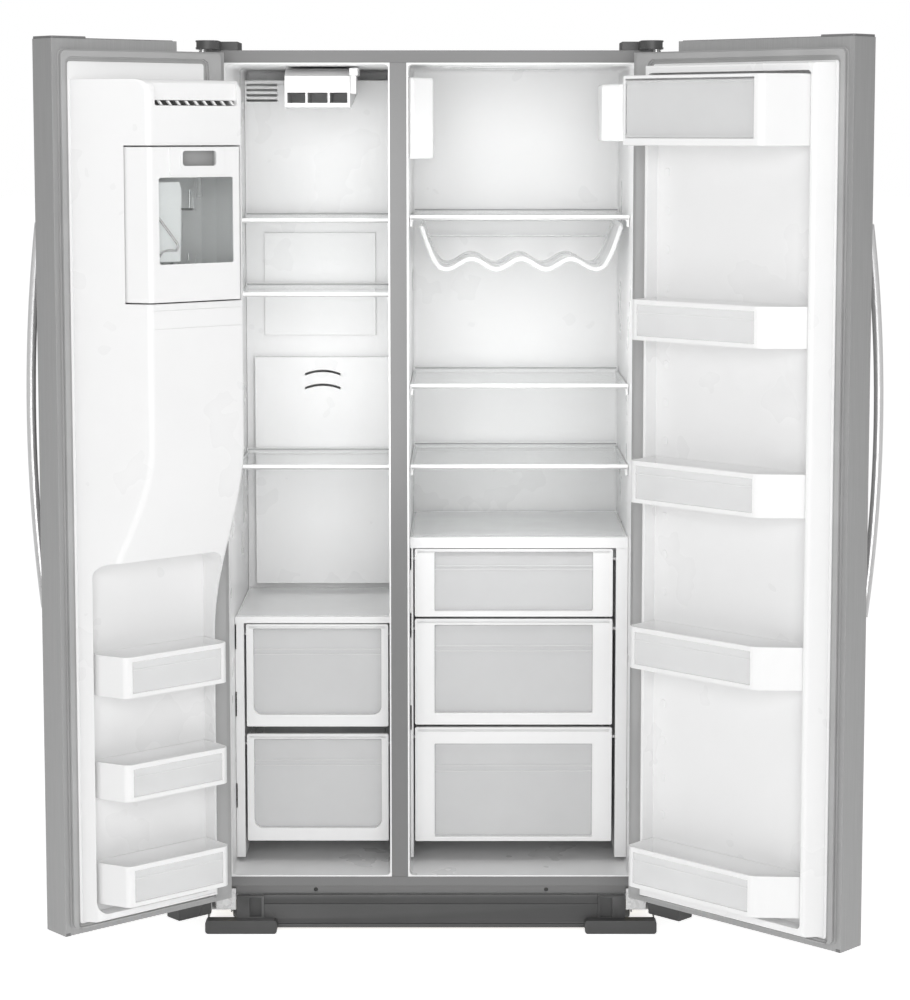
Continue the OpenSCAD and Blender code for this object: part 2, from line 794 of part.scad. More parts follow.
module freezer_door_foam() {
    color("khaki") on_freezer_door() difference() {
        door_core(fz_door_w);
        y_slab(out_b - 1, disp_b1) rounded(disp_a0, disp_z0, disp_a1, disp_z1, 8);
        chute(1);
    }
}

// White inner panel: head of the ice maker, bay of the ice bin, sculpted lower part
module freezer_door_liner() {
    steps = 20;
    zs = [for (i = [0 : steps]) shallow_z + i * (deep_z - shallow_z) / steps];
    alcove_z1 = 812;
    base = in_b + 0.2;
    color(white) on_freezer_door() {
        difference() {
            y_slab(base, base + 3) rounded(dyke_a0 - 5.5, dyke_z0 - 4.5,
                fz_door_w - edge_a - flange_w + 5.5, dyke_z1 + 4.5, 5.5);
            chute(0);
        }
        difference() {
            intersection() {
                z_slab(dyke_z0, 1712) polygon([[dyke_a0, base], [dyke_a0, bulge_b],
                    [fz_front_a1, bulge_b], [fz_dyke_a1, in_b + 6], [fz_dyke_a1, base]]);
                x_slab(0, 400) polygon(concat([[base, dyke_z0], [dyke_b, dyke_z0]],
                    [for (z = zs) [bulge_at(z), z]],
                    [[bulge_b, 1695], [bulge_b - 14, 1712], [base, 1712]]));
            }
            // bay of the ice bin, and the ice maker's room above it
            block([dyke_a0 + 8, bay_b0, ice_z0 - 3], [bay_a1, bulge_b + 9, ice_z1 + 3]);
            block([dyke_a0 + 8, bay_b0, ice_z1 + 2], [fz_front_a1 - 8, bulge_b - 12, 1700]);
            // air intake in the head
            block([dyke_a0 + 14, bulge_b - 13, 1664], [fz_front_a1 - 14, bulge_b + 1, 1704]);
            // alcove behind the bins
            y_slab(in_b + 3.5, bulge_b + 1)
                rounded(dyke_a0 + 8, dyke_z0 + 14, fz_dyke_a1 - 15, alcove_z1, 24);
            chute(0);
        }
        // plate that closes the intake but for a slot at its foot
        block([dyke_a0 + 13, bulge_b - 11, 1674], [fz_front_a1 - 13, bulge_b - 7, 1705]);
    }
}

module freezer_door_gasket() {
    color(rubber_grey) on_freezer_door() gasket(fz_door_w);
}
module freezer_door_handle() {
    color(bright) on_freezer_door() handle(fz_door_w - edge_a - handle_inset);
}

// Open bin: a tub whose free end is cut back so that it clears the cabinet
module door_bin(a1, a2, z0, z1) {
    a0 = dyke_a0 + 9;
    b0 = in_b + 4;
    t = tub_t;
    difference() {
        z_slab(z0, z1) polygon([[a0, b0], [a0, bin_b], [a1, bin_b], [a1 + 12, bin_b - 5],
            [a2, b0 + 22], [a2, b0]]);
        z_slab(z0 + t, z1 + 1) polygon([[a0 + t, b0 + t], [a0 + t, bin_b - t],
            [a1 - 0.5, bin_b - t], [a1 + 10, bin_b - 7.6], [a2 - t, b0 + 20.8], [a2 - t, b0 + t]]);
    }
}

fz_bin_a1 = 277;
fz_bin_a2 = 312;
module freezer_bin_upper() {
    color(clear) on_freezer_door() door_bin(fz_bin_a1, fz_bin_a2, 556, 634);
}
module freezer_bin_middle() {
    color(clear) on_freezer_door() door_bin(fz_bin_a1, fz_bin_a2, 357, 428);
}
module freezer_bin_lower() {
    color(clear) on_freezer_door() door_bin(fz_bin_a1, fz_bin_a2, 153, 232);
}

// Mould of the ice maker with its row of cups and the ejector shaft
module ice_maker() {
    cups = 7;
    pitch = 24;
    a0 = 62;
    mid_b = 118;
    color("silver") on_freezer_door() {
        difference() {
            block([a0, mid_b - 34, 1606], [a0 + cups * pitch + 6, mid_b + 34, 1644]);
            for (k = [0 : cups - 1])
                x_rod(a0 + 4 + k * pitch, a0 + 2 + (k + 1) * pitch, mid_b, 1644, 26);
        }
        block([a0 + cups * pitch + 6, bay_b0 + 4, 1606], [a0 + cups * pitch + 16, 170, 1690]);
        block([a0 + 20, bay_b0, 1612], [a0 + 150, mid_b - 33, 1626]);
        x_rod(a0, a0 + cups * pitch + 8, mid_b, 1660, 4);
        for (k = [0 : cups - 1])
            block([a0 + 13 + k * pitch, mid_b, 1658], [a0 + 16 + k * pitch, mid_b + 22, 1662]);
    }
}

ice_a = 166;
ice_b = 126;

// Bin for the ice, with a window and a finger grip; open above
module ice_bin() {
    t = 3;
    a0 = dyke_a0 + 11;
    b0 = bay_b0 + 3;
    front = bulge_b + 4;
    cut_a = 257;
    a1 = bay_a1 - 2;
    b_side = bulge_b - (a1 - fz_front_a1) * (bulge_b - in_b - 6) / (fz_dyke_a1 - fz_front_a1) + 5;
    color(white) on_freezer_door() difference() {
        z_slab(ice_z0, ice_z1) polygon([[a0, b0], [a0, front], [cut_a, front], [a1, b_side],
            [a1, b0]]);
        z_slab(ice_z0 + t, ice_z1 + 1) polygon([[a0 + t, b0 + t], [a0 + t, front - t],
            [cut_a - 2, front - t], [a1 - t, b_side - 2], [a1 - t, b0 + t]]);
        // finger grip
        y_slab(front - 4, front + 1) rounded(110, 1552, 188, 1582, 6);
        // window
        y_slab(front - t - 1, front + 1) rounded(70, 1372, 238, 1532, 4);
        // outlet over the chute
        block([disp_mid - 26, in_b + 26, ice_z0 - 1], [disp_mid + 26, in_b + 50, ice_z0 + t + 1]);
        z_rod(ice_z0 - 1, ice_z0 + t + 1, ice_a, ice_b, 5.06);
    }
}

// Wire stirrer on a hub, turning in the floor of the ice bin
module ice_auger() {
    color(bright) on_freezer_door() translate([ice_a, ice_b, 0]) {
        translate([0, 0, ice_z0 - 0.5]) cylinder(h = 8, r = 5);
        translate([0, 0, ice_z0 + 4]) cylinder(h = 10, r = 18);
        translate([0, 0, ice_z0 + 13]) cylinder(h = 200, r = 3);
        for (k = [0 : 2]) translate([0, 0, ice_z0 + 50 + k * 60]) rotate([0, 0, k * 60]) {
            x_rod(-44, 44, 0, 0, 2.6);
            for (x = [-38, 38]) z_rod(0, 36, x, 0, 2.2);
        }
    }
}

// Lining of the dispenser's bay with its frame and control strip
module dispenser_housing() {
    t = 3;
    face = 4;
    color(dark) on_freezer_door() difference() {
        union() {
            y_slab(out_b - face, out_b - 0.1)
                rounded(disp_a0 - 12, disp_z0 - 12, disp_a1 + 12, disp_z1 + 96, 10);
            y_slab(out_b - 1, disp_b1 - 0.2)
                rounded(disp_a0 + 0.2, disp_z0 + 0.2, disp_a1 - 0.2, disp_z1 - 0.2, 7.8);
        }
        y_slab(out_b - face - 1, disp_b1 - 0.2 - t)
            rounded(disp_a0 + t, disp_z0 + t, disp_a1 - t, disp_z1 - t, 5);
        block([disp_mid - 24, disp_b1 - 5, 1238], [disp_mid + 24, disp_b1 + 1, 1272]);
        x_rod(disp_mid - 44, disp_mid + 44, paddle_b, paddle_z, 3.06);
    }
    color(dark) on_freezer_door() {
        for (s = [-1, 1]) difference() {
            translate([disp_mid + s * 40 - 2, paddle_b - 7, paddle_z - 7])
                cube([4, disp_b1 - paddle_b + 5, 14]);
            x_rod(disp_mid - 44, disp_mid + 44, paddle_b, paddle_z, 3.06);
        }
        for (k = [0 : 4]) y_slab(out_b - face - 1, out_b - face + 0.5)
            translate([disp_mid - 64 + k * 32, disp_z1 + 34]) circle(9);
    }
}

paddle_b = 10;
paddle_z = 1218;

// Lever that is pushed back by a glass
module dispenser_paddle() {
    color([0.3, 0.3, 0.32]) on_freezer_door() {
        x_rod(disp_mid - 43, disp_mid + 43, paddle_b, paddle_z, 3);
        block([disp_mid - 24, paddle_b - 2, 1085], [disp_mid + 24, paddle_b + 2, paddle_z]);
        y_slab(paddle_b - 4, paddle_b) rounded(disp_mid - 26, 1080, disp_mid + 26, 1120, 8);
    }
}

// Slotted tray on the floor of the dispenser
module drip_tray() {
    z0 = disp_z0 + 3.2;
    color(dark) on_freezer_door() difference() {
        block([disp_a0 + 8, out_b - 3, z0], [disp_a1 - 8, disp_b1 - 6, z0 + 14]);
        block([disp_a0 + 11, out_b, z0 + 3], [disp_a1 - 11, disp_b1 - 9, z0 + 11]);
        for (a = [disp_a0 + 20 : 12 : disp_a1 - 24])
            block([a, out_b + 5, z0 + 10], [a + 5, disp_b1 - 14, z0 + 15]);
    }
}

// ---- refrigerator door
fr_dyke_a1 = fr_door_w - edge_a - flange_w;

module fridge_door_shell() {
    color(steel_grey) on_fridge_door() door_pan(fr_door_w);
}
module fridge_door_foam() {
    color("khaki") on_fridge_door() door_core(fr_door_w);
}

// White inner panel with a raised rim and lugs for the bins
module fridge_door_liner() {
    base = in_b + 0.2;
    color(white) on_fridge_door() {
        y_slab(base, base + 3) rounded(dyke_a0 - 5.5, dyke_z0 - 4.5,
            fr_dyke_a1 + 5.5, dyke_z1 + 4.5, 5.5);
        difference() {
            z_slab(dyke_z0, dyke_z1) polygon([[dyke_a0, base], [dyke_a0, dyke_b],
                [fr_dyke_a1 - 24, dyke_b], [fr_dyke_a1, base + 4], [fr_dyke_a1, base]]);
            y_slab(base + 3, dyke_b + 1) rounded(dyke_a0 + 8, dyke_z0 + 14,
                fr_dyke_a1 - 32, dyke_z1 - 14, 8);
        }
    }
}

module fridge_door_gasket() {
    color(rubber_grey) on_fridge_door() gasket(fr_door_w);
}
module fridge_door_handle() {
    color(bright) on_fridge_door() handle(fr_door_w - edge_a - handle_inset);
}

fr_bin_a1 = 352;
fr_bin_a2 = 430;
door_bin_z = [[1221, 1298], [908, 989], [585, 666], [152, 231]];
module door_bin_1() {
    color(clear) on_fridge_door()
        door_bin(fr_bin_a1, fr_bin_a2, door_bin_z[0][0], door_bin_z[0][1]);
}
module door_bin_2() {
    color(clear) on_fridge_door()
        door_bin(fr_bin_a1, fr_bin_a2, door_bin_z[1][0], door_bin_z[1][1]);
}
module door_bin_3() {
    color(clear) on_fridge_door()
        door_bin(fr_bin_a1, fr_bin_a2, door_bin_z[2][0], door_bin_z[2][1]);
}
module door_bin_4() {
    color(clear) on_fridge_door()
        door_bin(fr_bin_a1, fr_bin_a2, door_bin_z[3][0], door_bin_z[3][1]);
}

// Covered box for butter and cheese
dairy_z0 = 1590;
dairy_z1 = 1721;
dairy_b = 164;
dairy_a1 = 378;
flap_t = 3;
module dairy_box() {
    a0 = dyke_a0 + 9;
    b0 = in_b + 4;
    color(white) on_fridge_door() difference() {
        z_slab(dairy_z0, dairy_z1) polygon([[a0, b0], [a0, dairy_b], [dairy_a1, dairy_b],
            [fr_bin_a2, b0 + 22], [fr_bin_a2, b0]]);
        block([a0 + 4, b0 + 4, dairy_z0 + 4], [dairy_a1 - 8, dairy_b - 4, dairy_z1 - 4]);
        block([a0 + 8, b0 + 10, dairy_z0 + 14], [dairy_a1 - 16, dairy_b + 1, dairy_z1 - 6]);
        x_rod(a0 + 1, dairy_a1 - 3, dairy_b - 6, dairy_z1 - 12, 3.06);
    }
}

// Clear flap, hung on two studs along its upper edge
module dairy_flap() {
    a0 = dyke_a0 + 18;
    a1 = dairy_a1 - 17;
    color(clear) on_fridge_door() {
        x_rod(a0 - 7, a1 + 13, dairy_b - 6, dairy_z1 - 12, 3);
        block([a0, dairy_b - 6 - flap_t / 2, dairy_z0 + 15],
            [a1, dairy_b - 6 + flap_t / 2, dairy_z1 - 12]);
        block([a0, dairy_b - 7, dairy_z0 + 15], [a1, dairy_b - 1, dairy_z0 + 20]);
    }
}

cabinet_shell();
back_panel();
foam_insulation();
freezer_liner();
fridge_liner();
front_rails();
base_chassis();
base_grille();
compressor();
condenser();
evaporator();
evaporator_cover();
air_duct();
freezer_shelves();
freezer_drawer_frame();
control_covers();
fridge_shelf_upper();
fridge_shelf_middle();
fridge_shelf_lower();
bottle_rack();
crisper_frame();
door_hinges();
hinge_covers();
rear_inlets();
front_rollers();
rear_rollers();
leg_left();
leg_right();
condenser_fan();
evaporator_fan();
freezer_drawer_upper();
freezer_drawer_lower();
crisper_upper();
crisper_middle();
crisper_lower();
freezer_door_shell();
freezer_door_foam();
freezer_door_liner();
freezer_door_gasket();
freezer_door_handle();
freezer_bin_upper();
freezer_bin_middle();
freezer_bin_lower();
ice_maker();
ice_bin();
ice_auger();
dispenser_housing();
dispenser_paddle();
drip_tray();
fridge_door_shell();
fridge_door_foam();
fridge_door_liner();
fridge_door_gasket();
fridge_door_handle();
door_bin_1();
door_bin_2();
door_bin_3();
door_bin_4();
dairy_box();
dairy_flap();
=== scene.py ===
"""Looks of the side by side refrigerator: its pieces, their finishes, the light and the camera."""

import json
import math

import bmesh
import bpy
from mathutils import Matrix, Vector


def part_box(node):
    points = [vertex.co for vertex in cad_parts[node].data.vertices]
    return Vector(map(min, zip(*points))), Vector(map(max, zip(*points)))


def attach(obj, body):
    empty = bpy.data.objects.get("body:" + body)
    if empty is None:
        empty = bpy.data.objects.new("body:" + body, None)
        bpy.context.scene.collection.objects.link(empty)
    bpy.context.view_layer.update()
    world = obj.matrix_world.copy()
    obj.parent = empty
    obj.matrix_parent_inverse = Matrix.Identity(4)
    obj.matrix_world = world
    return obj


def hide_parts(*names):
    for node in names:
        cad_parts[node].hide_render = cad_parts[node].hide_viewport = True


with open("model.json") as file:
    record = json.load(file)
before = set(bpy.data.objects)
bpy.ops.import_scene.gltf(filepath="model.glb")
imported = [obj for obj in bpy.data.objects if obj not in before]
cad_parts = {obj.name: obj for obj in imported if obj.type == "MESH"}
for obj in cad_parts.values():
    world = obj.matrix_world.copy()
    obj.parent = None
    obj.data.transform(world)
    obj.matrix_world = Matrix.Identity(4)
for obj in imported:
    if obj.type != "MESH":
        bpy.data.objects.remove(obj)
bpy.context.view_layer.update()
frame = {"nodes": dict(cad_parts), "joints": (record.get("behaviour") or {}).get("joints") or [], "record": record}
scene = bpy.context.scene

# All shapes are drawn in millimetres
MM = 0.001
LINER = 3.0
CORNER = 8.0
SHARP = math.radians(32)

# Openings of the ice bin's front, and of the ice maker's intake above it
GRIP = (110, 1552, 188, 1582)
WINDOW = (70, 1372, 238, 1532)
INTAKE_LOW, INTAKE_HIGH = 1664, 1704
INTAKE_INSET = 14

# The freezer door's inner panel swings from shallow to deep between these heights
SWEEP_LOW, SWEEP_HIGH = 640.0, 1040.0
SWEEP_STEPS = 28
ALCOVE_TOP = 812

JOINTS = {j["name"]: j for j in frame["joints"]}
BODY_OF = {n: body for body, nodes in frame["record"]["behaviour"]["bodies"].items() for n in nodes}
SLOT_OF = {s["node"]: s["material_slot"] for s in frame["record"]["subparts"]}


# ------------------------------------------------------------ places


def cabinet_place():
    """Cabinet frame in millimetres: x across, y back from the front edge, z up."""
    lo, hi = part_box("cabinet_shell")
    return Matrix.Translation(((lo.x + hi.x) / 2, lo.y, 0)) @ Matrix.Scale(MM, 4)


def door_place(joint_name, mirrored):
    """Door frame in millimetres: x from the pin to the free edge, y inwards, z up."""
    hinge = JOINTS[joint_name]
    flip = Matrix.Scale(-1, 4, (1, 0, 0)) if mirrored else Matrix.Identity(4)
    turn = Matrix.Rotation(math.radians(min(hinge["range_deg"])), 4, "Z")
    pin = Matrix.Translation((hinge["pos_m"][0], hinge["pos_m"][1], 0))
    return pin @ flip @ turn @ Matrix.Scale(MM, 4)


CABINET = cabinet_place()
FREEZER_DOOR = door_place("freezer_door_hinge", False)
FRIDGE_DOOR = door_place("fridge_door_hinge", True)


def extent(node, place, keep=None):
    """Lowest and highest corner of a CAD node in a local frame, of the points that keep says."""
    back = place.inverted()
    points = [back @ v.co for v in frame["nodes"][node].data.vertices]
    points = [p for p in points if keep is None or keep(p)]
    return (Vector([min(p[i] for p in points) for i in range(3)]),
            Vector([max(p[i] for p in points) for i in range(3)]))


def solids(node, place):
    """Extents of the separate solids of a CAD node, from the highest down."""
    shape = bmesh.new()
    shape.from_mesh(frame["nodes"][node].data)
    bmesh.ops.remove_doubles(shape, verts=shape.verts[:], dist=0.02 * MM)
    back = place.inverted()
    left = set(shape.verts)
    found = []
    while left:
        island, edge = set(), {left.pop()}
        while edge:
            island |= edge
            edge = {e.other_vert(v) for v in edge for e in v.link_edges} - island
        left -= island
        points = [back @ v.co for v in island]
        found.append((Vector([min(p[i] for p in points) for i in range(3)]),
                      Vector([max(p[i] for p in points) for i in range(3)])))
    shape.free()
    return sorted(found, key=lambda box: -box[1].z)


# ------------------------------------------------------------ shapes, in millimetres


def point(axis, u, v, along):
    """A point from an outline's two coordinates and its distance along the third axis."""
    coords = [u, v]
    coords.insert("xyz".index(axis), along)
    return Vector(coords)


def rect(u0, v0, u1, v1):
    return [(u0, v0), (u1, v0), (u1, v1), (u0, v1)]


def outline(shape, points, axis, at, radius=0.0, segments=6):
    """A flat face with rounded corners; radius is one value, or one for each corner."""
    verts = [shape.verts.new(point(axis, u, v, at)) for u, v in points]
    shape.faces.new(verts)
    radii = radius if isinstance(radius, (list, tuple)) else [radius] * len(points)
    for vert, corner in zip(verts, radii):
        if corner:
            bmesh.ops.bevel(shape, geom=[vert], offset=corner, offset_type="OFFSET",
                            segments=segments, profile=0.5, affect="VERTICES", material=-1)


def thicken(shape, axis, depth):
    made = bmesh.ops.extrude_face_region(shape, geom=shape.faces[:])
    verts = [g for g in made["geom"] if isinstance(g, bmesh.types.BMVert)]
    bmesh.ops.translate(shape, verts=verts, vec=point(axis, 0, 0, depth))
    bmesh.ops.recalc_face_normals(shape, faces=shape.faces[:])


def prism(points, axis, low, high, radius=0.0, segments=6):
    shape = bmesh.new()
    outline(shape, points, axis, low, radius, segments)
    thicken(shape, axis, high - low)
    return shape


def ring(outer, inner, axis, low, high, outer_r=0.0, inner_r=0.0, segments=6):
    """A flat plate with one opening."""
    shape = bmesh.new()
    outline(shape, outer, axis, low, outer_r, segments)
    outline(shape, inner, axis, low, inner_r, segments)
    bmesh.ops.delete(shape, geom=shape.faces[:], context="FACES_ONLY")
    bmesh.ops.bridge_loops(shape, edges=shape.edges[:])
    thicken(shape, axis, high - low)
    return shape


def block(lo, hi):
    shape = bmesh.new()
    lo, hi = Vector(lo), Vector(hi)
    bmesh.ops.create_cube(shape, size=1.0)
    bmesh.ops.scale(shape, vec=hi - lo, verts=shape.verts[:])
    bmesh.ops.translate(shape, vec=(lo + hi) / 2, verts=shape.verts[:])
    return shape


def rod(axis, low, high, centre, radius, tip=None, segments=24):
    shape = bmesh.new()
    end = radius if tip is None else tip
    bmesh.ops.create_cone(shape, cap_ends=True, segments=segments, radius1=radius, radius2=end,
                          depth=high - low)
    turns = {"x": Matrix.Rotation(math.pi / 2, 3, "Y"), "y": Matrix.Rotation(-math.pi / 2, 3, "X"),
             "z": Matrix.Identity(3)}
    bmesh.ops.rotate(shape, verts=shape.verts[:], cent=(0, 0, 0), matrix=turns[axis])
    bmesh.ops.translate(shape, verts=shape.verts[:], vec=point(axis, *centre, (low + high) / 2))
    return shape


def tub(points, low, high, wall, floor, radius=0.0, segments=6):
    """An open box of even wall, closed below."""
    shape = prism(points, "z", low, high, radius, segments)
    rim = max(shape.faces, key=lambda f: f.calc_center_median().z)
    bmesh.ops.inset_region(shape, faces=[rim], thickness=wall, use_even_offset=True)
    sunk = bmesh.ops.extrude_discrete_faces(shape, faces=[rim])["faces"][0]
    bmesh.ops.translate(shape, verts=sunk.verts[:], vec=(0, 0, low + floor - high))
    return shape


def hoop(points, low, high, wall, radius=0.0, segments=6):
    """A closed band of even width inside an outline."""
    shape = bmesh.new()
    outline(shape, points, "z", low, radius, segments)
    middle = shape.faces[:][0]
    bmesh.ops.inset_region(shape, faces=[middle], thickness=wall, use_even_offset=True)
    bmesh.ops.delete(shape, geom=[middle], context="FACES")
    thicken(shape, "z", high - low)
    return shape


def joined(*shapes):
    whole = bmesh.new()
    for shape in shapes:
        part = bpy.data.meshes.new("part")
        shape.to_mesh(part)
        whole.from_mesh(part)
        bpy.data.meshes.remove(part)
        shape.free()
    return whole


def stand_in(shape, name):
    mesh = bpy.data.meshes.new(name)
    shape.to_mesh(mesh)
    shape.free()
    obj = bpy.data.objects.new(name, mesh)
    scene.collection.objects.link(obj)
    return obj


def carved(shape, *cutters):
    """The shape with the cutters taken away."""
    target = stand_in(shape, "carved")
    tools = [stand_in(cutter, "cutter") for cutter in cutters]
    for tool in tools:
        cut = target.modifiers.new("cut", "BOOLEAN")
        cut.operation = "DIFFERENCE"
        cut.solver = "EXACT"
        cut.object = tool
    bpy.context.view_layer.update()
    graph = bpy.context.evaluated_depsgraph_get()
    cut_mesh = bpy.data.meshes.new_from_object(target.evaluated_get(graph))
    result = bmesh.new()
    result.from_mesh(cut_mesh)
    bpy.data.meshes.remove(cut_mesh)
    for obj in (target, *tools):
        mesh = obj.data
        bpy.data.objects.remove(obj)
        bpy.data.meshes.remove(mesh)
    return result


def moved(shape, vec):
    bmesh.ops.translate(shape, verts=shape.verts[:], vec=vec)
    return shape


def round_edges(shape, radius, segments, pick):
    """Rounds the sharp edges that pick says."""
    edges = [e for e in shape.edges if len(e.link_faces) == 2
             and e.calc_face_angle(0) > math.radians(30) and pick(e)]
    bmesh.ops.bevel(shape, geom=edges, offset=radius, offset_type="OFFSET", segments=segments,
                    profile=0.5, affect="EDGES", material=-1)
    return shape


# ------------------------------------------------------------ shader groups


def new_group(name, inputs, outputs):
    """An empty node group with named sockets, and its two end nodes."""
    group = bpy.data.node_groups.new(name, "ShaderNodeTree")
    for label, kind, value in inputs:
        socket = group.interface.new_socket(label, in_out="INPUT", socket_type=kind)
        if value is not None:
            socket.default_value = value
    for label, kind in outputs:
        group.interface.new_socket(label, in_out="OUTPUT", socket_type=kind)
    return group, group.nodes.new("NodeGroupInput"), group.nodes.new("NodeGroupOutput")


def noise(tree, vector, scale, detail=4.0, rough=0.55):
    node = tree.nodes.new("ShaderNodeTexNoise")
    node.inputs["Detail"].default_value = detail
    node.inputs["Roughness"].default_value = rough
    tree.links.new(vector, node.inputs["Vector"])
    if isinstance(scale, (int, float)):
        node.inputs["Scale"].default_value = scale
    else:
        tree.links.new(scale, node.inputs["Scale"])
    return node.outputs["Fac"]


def spread(tree, value, low, high, to_low=0.0, to_high=1.0):
    node = tree.nodes.new("ShaderNodeMapRange")
    node.inputs["From Min"].default_value = low
    node.inputs["From Max"].default_value = high
    node.inputs["To Min"].default_value = to_low
    node.inputs["To Max"].default_value = to_high
    tree.links.new(value, node.inputs["Value"])
    return node.outputs["Result"]


def stretched(tree, vector, scale):
    node = tree.nodes.new("ShaderNodeMapping")
    node.inputs["Scale"].default_value = scale
    tree.links.new(vector, node.inputs["Vector"])
    return node.outputs["Vector"]


def moulded_group():
    """Fine spark-eroded grain of moulded plastic over slow waviness."""
    group, start, end = new_group(
        "moulded_grain", [("Vector", "NodeSocketVector", None), ("Scale", "NodeSocketFloat", 900.0)],
        [("Height", "NodeSocketFloat"), ("Mottle", "NodeSocketFloat")])
    fine = noise(group, start.outputs["Vector"], start.outputs["Scale"], 2.0, 0.4)
    slow = noise(group, start.outputs["Vector"], 6.0, 3.0)
    add = group.nodes.new("ShaderNodeMath")
    add.operation = "MULTIPLY_ADD"
    add.inputs[1].default_value = 0.35
    group.links.new(slow, add.inputs[0])
    group.links.new(fine, add.inputs[2])
    group.links.new(add.outputs[0], end.inputs["Height"])
    group.links.new(spread(group, slow, 0.35, 0.65), end.inputs["Mottle"])
    return group


def painted_group():
    """Orange peel of sprayed paint, with slow differences in sheen."""
    group, start, end = new_group(
        "orange_peel", [("Vector", "NodeSocketVector", None), ("Scale", "NodeSocketFloat", 420.0)],
        [("Height", "NodeSocketFloat"), ("Mottle", "NodeSocketFloat")])
    cell = group.nodes.new("ShaderNodeTexVoronoi")
    cell.feature = "SMOOTH_F1"
    group.links.new(start.outputs["Vector"], cell.inputs["Vector"])
    group.links.new(start.outputs["Scale"], cell.inputs["Scale"])
    group.links.new(cell.outputs["Distance"], end.inputs["Height"])
    slow = noise(group, start.outputs["Vector"], 3.0, 4.0)
    group.links.new(spread(group, slow, 0.3, 0.7), end.inputs["Mottle"])
    return group


def brushed_group():
    """Long scratches along z."""
    group, start, end = new_group(
        "brushed_lines", [("Vector", "NodeSocketVector", None), ("Scale", "NodeSocketFloat", 500.0)],
        [("Height", "NodeSocketFloat"), ("Mottle", "NodeSocketFloat")])
    along = stretched(group, start.outputs["Vector"], (1.0, 1.0, 0.01))
    lines = noise(group, along, start.outputs["Scale"], 3.0, 0.6)
    group.links.new(lines, end.inputs["Height"])
    group.links.new(spread(group, lines, 0.3, 0.7), end.inputs["Mottle"])
    return group


def spangle_group():
    """Zinc crystals of galvanised sheet."""
    group, start, end = new_group(
        "zinc_spangle", [("Vector", "NodeSocketVector", None), ("Scale", "NodeSocketFloat", 60.0)],
        [("Height", "NodeSocketFloat"), ("Mottle", "NodeSocketFloat")])
    cell = group.nodes.new("ShaderNodeTexVoronoi")
    group.links.new(start.outputs["Vector"], cell.inputs["Vector"])
    group.links.new(start.outputs["Scale"], cell.inputs["Scale"])
    bright = group.nodes.new("ShaderNodeSeparateColor")
    group.links.new(cell.outputs["Color"], bright.inputs["Color"])
    group.links.new(bright.outputs["Red"], end.inputs["Mottle"])
    group.links.new(noise(group, start.outputs["Vector"], 300.0), end.inputs["Height"])
    return group


def edge_group():
    """Painted highlight: slight lightening of convex edges; painted shade: darkening of hollows and corners."""
    group, start, end = new_group(
        "edge_tone", [("Colour", "NodeSocketColor", (0.5, 0.5, 0.5, 1)),
                      ("Painted_highlight", "NodeSocketFloat", 0.1), ("Painted_shade", "NodeSocketFloat", 0.1)],
        [("Colour", "NodeSocketColor")])
    geometry = group.nodes.new("ShaderNodeNewGeometry")
    # Painted highlight where pointiness is high (convex edges), painted shade where it is low (hollows)
    highlight_mask = spread(group, geometry.outputs["Pointiness"], 0.52, 0.62)
    shade_mask = spread(group, geometry.outputs["Pointiness"], 0.48, 0.40)
    last = start.outputs["Colour"]
    # The light tint is the painted highlight, the dark brownish tint the painted shade
    for mask, amount, tint in ((highlight_mask, "Painted_highlight", (0.9, 0.9, 0.9, 1)), (shade_mask, "Painted_shade", (0.2, 0.19, 0.18, 1))):
        share = group.nodes.new("ShaderNodeMath")
        share.operation = "MULTIPLY"
        group.links.new(mask, share.inputs[0])
        group.links.new(start.outputs[amount], share.inputs[1])
        mix = group.nodes.new("ShaderNodeMix")
        mix.data_type = "RGBA"
        mix.inputs["B"].default_value = tint
        group.links.new(share.outputs[0], mix.inputs["Factor"])
        group.links.new(last, mix.inputs["A"])
        last = mix.outputs["Result"]
    group.links.new(last, end.inputs["Colour"])
    return group


MOULDED = moulded_group()
PAINTED = painted_group()
BRUSHED = brushed_group()
SPANGLE = spangle_group()
EDGES = edge_group()


# ------------------------------------------------------------ finishes


# The two edge amounts set a painted highlight on convex edges and a painted shade in hollows
def surface(name, pattern, scale, dark, light, rough, depth, painted_highlight=0.0, painted_shade=0.1, **plain):
    """A finish whose colour, roughness and relief follow one pattern group."""
    material = bpy.data.materials.new(name)
    material.use_nodes = True
    tree = material.node_tree
    shader = tree.nodes["Principled BSDF"]
    for label, value in plain.items():
        shader.inputs[label.replace("_", " ")].default_value = value
    coords = tree.nodes.new("ShaderNodeTexCoord")
    relief = tree.nodes.new("ShaderNodeGroup")
    relief.node_tree = pattern
    relief.inputs["Scale"].default_value = scale
    tree.links.new(coords.outputs["Object"], relief.inputs["Vector"])
    colour = tree.nodes.new("ShaderNodeMix")
    colour.data_type = "RGBA"
    colour.inputs["A"].default_value = (*dark, 1)
    colour.inputs["B"].default_value = (*light, 1)
    tree.links.new(relief.outputs["Mottle"], colour.inputs["Factor"])
    # Painted highlight on convex edges and painted shade in hollows, mixed into the base colour
    edges = tree.nodes.new("ShaderNodeGroup")
    edges.node_tree = EDGES
    edges.inputs["Painted_highlight"].default_value = painted_highlight
    edges.inputs["Painted_shade"].default_value = painted_shade
    tree.links.new(colour.outputs["Result"], edges.inputs["Colour"])
    tree.links.new(edges.outputs["Colour"], shader.inputs["Base Color"])
    sheen = spread(tree, relief.outputs["Mottle"], 0.0, 1.0, rough[0], rough[1])
    tree.links.new(sheen, shader.inputs["Roughness"])
    bump = tree.nodes.new("ShaderNodeBump")
    bump.inputs["Strength"].default_value = 0.5
    bump.inputs["Distance"].default_value = depth * MM
    tree.links.new(relief.outputs["Height"], bump.inputs["Height"])
    tree.links.new(bump.outputs["Normal"], shader.inputs["Normal"])
    return material


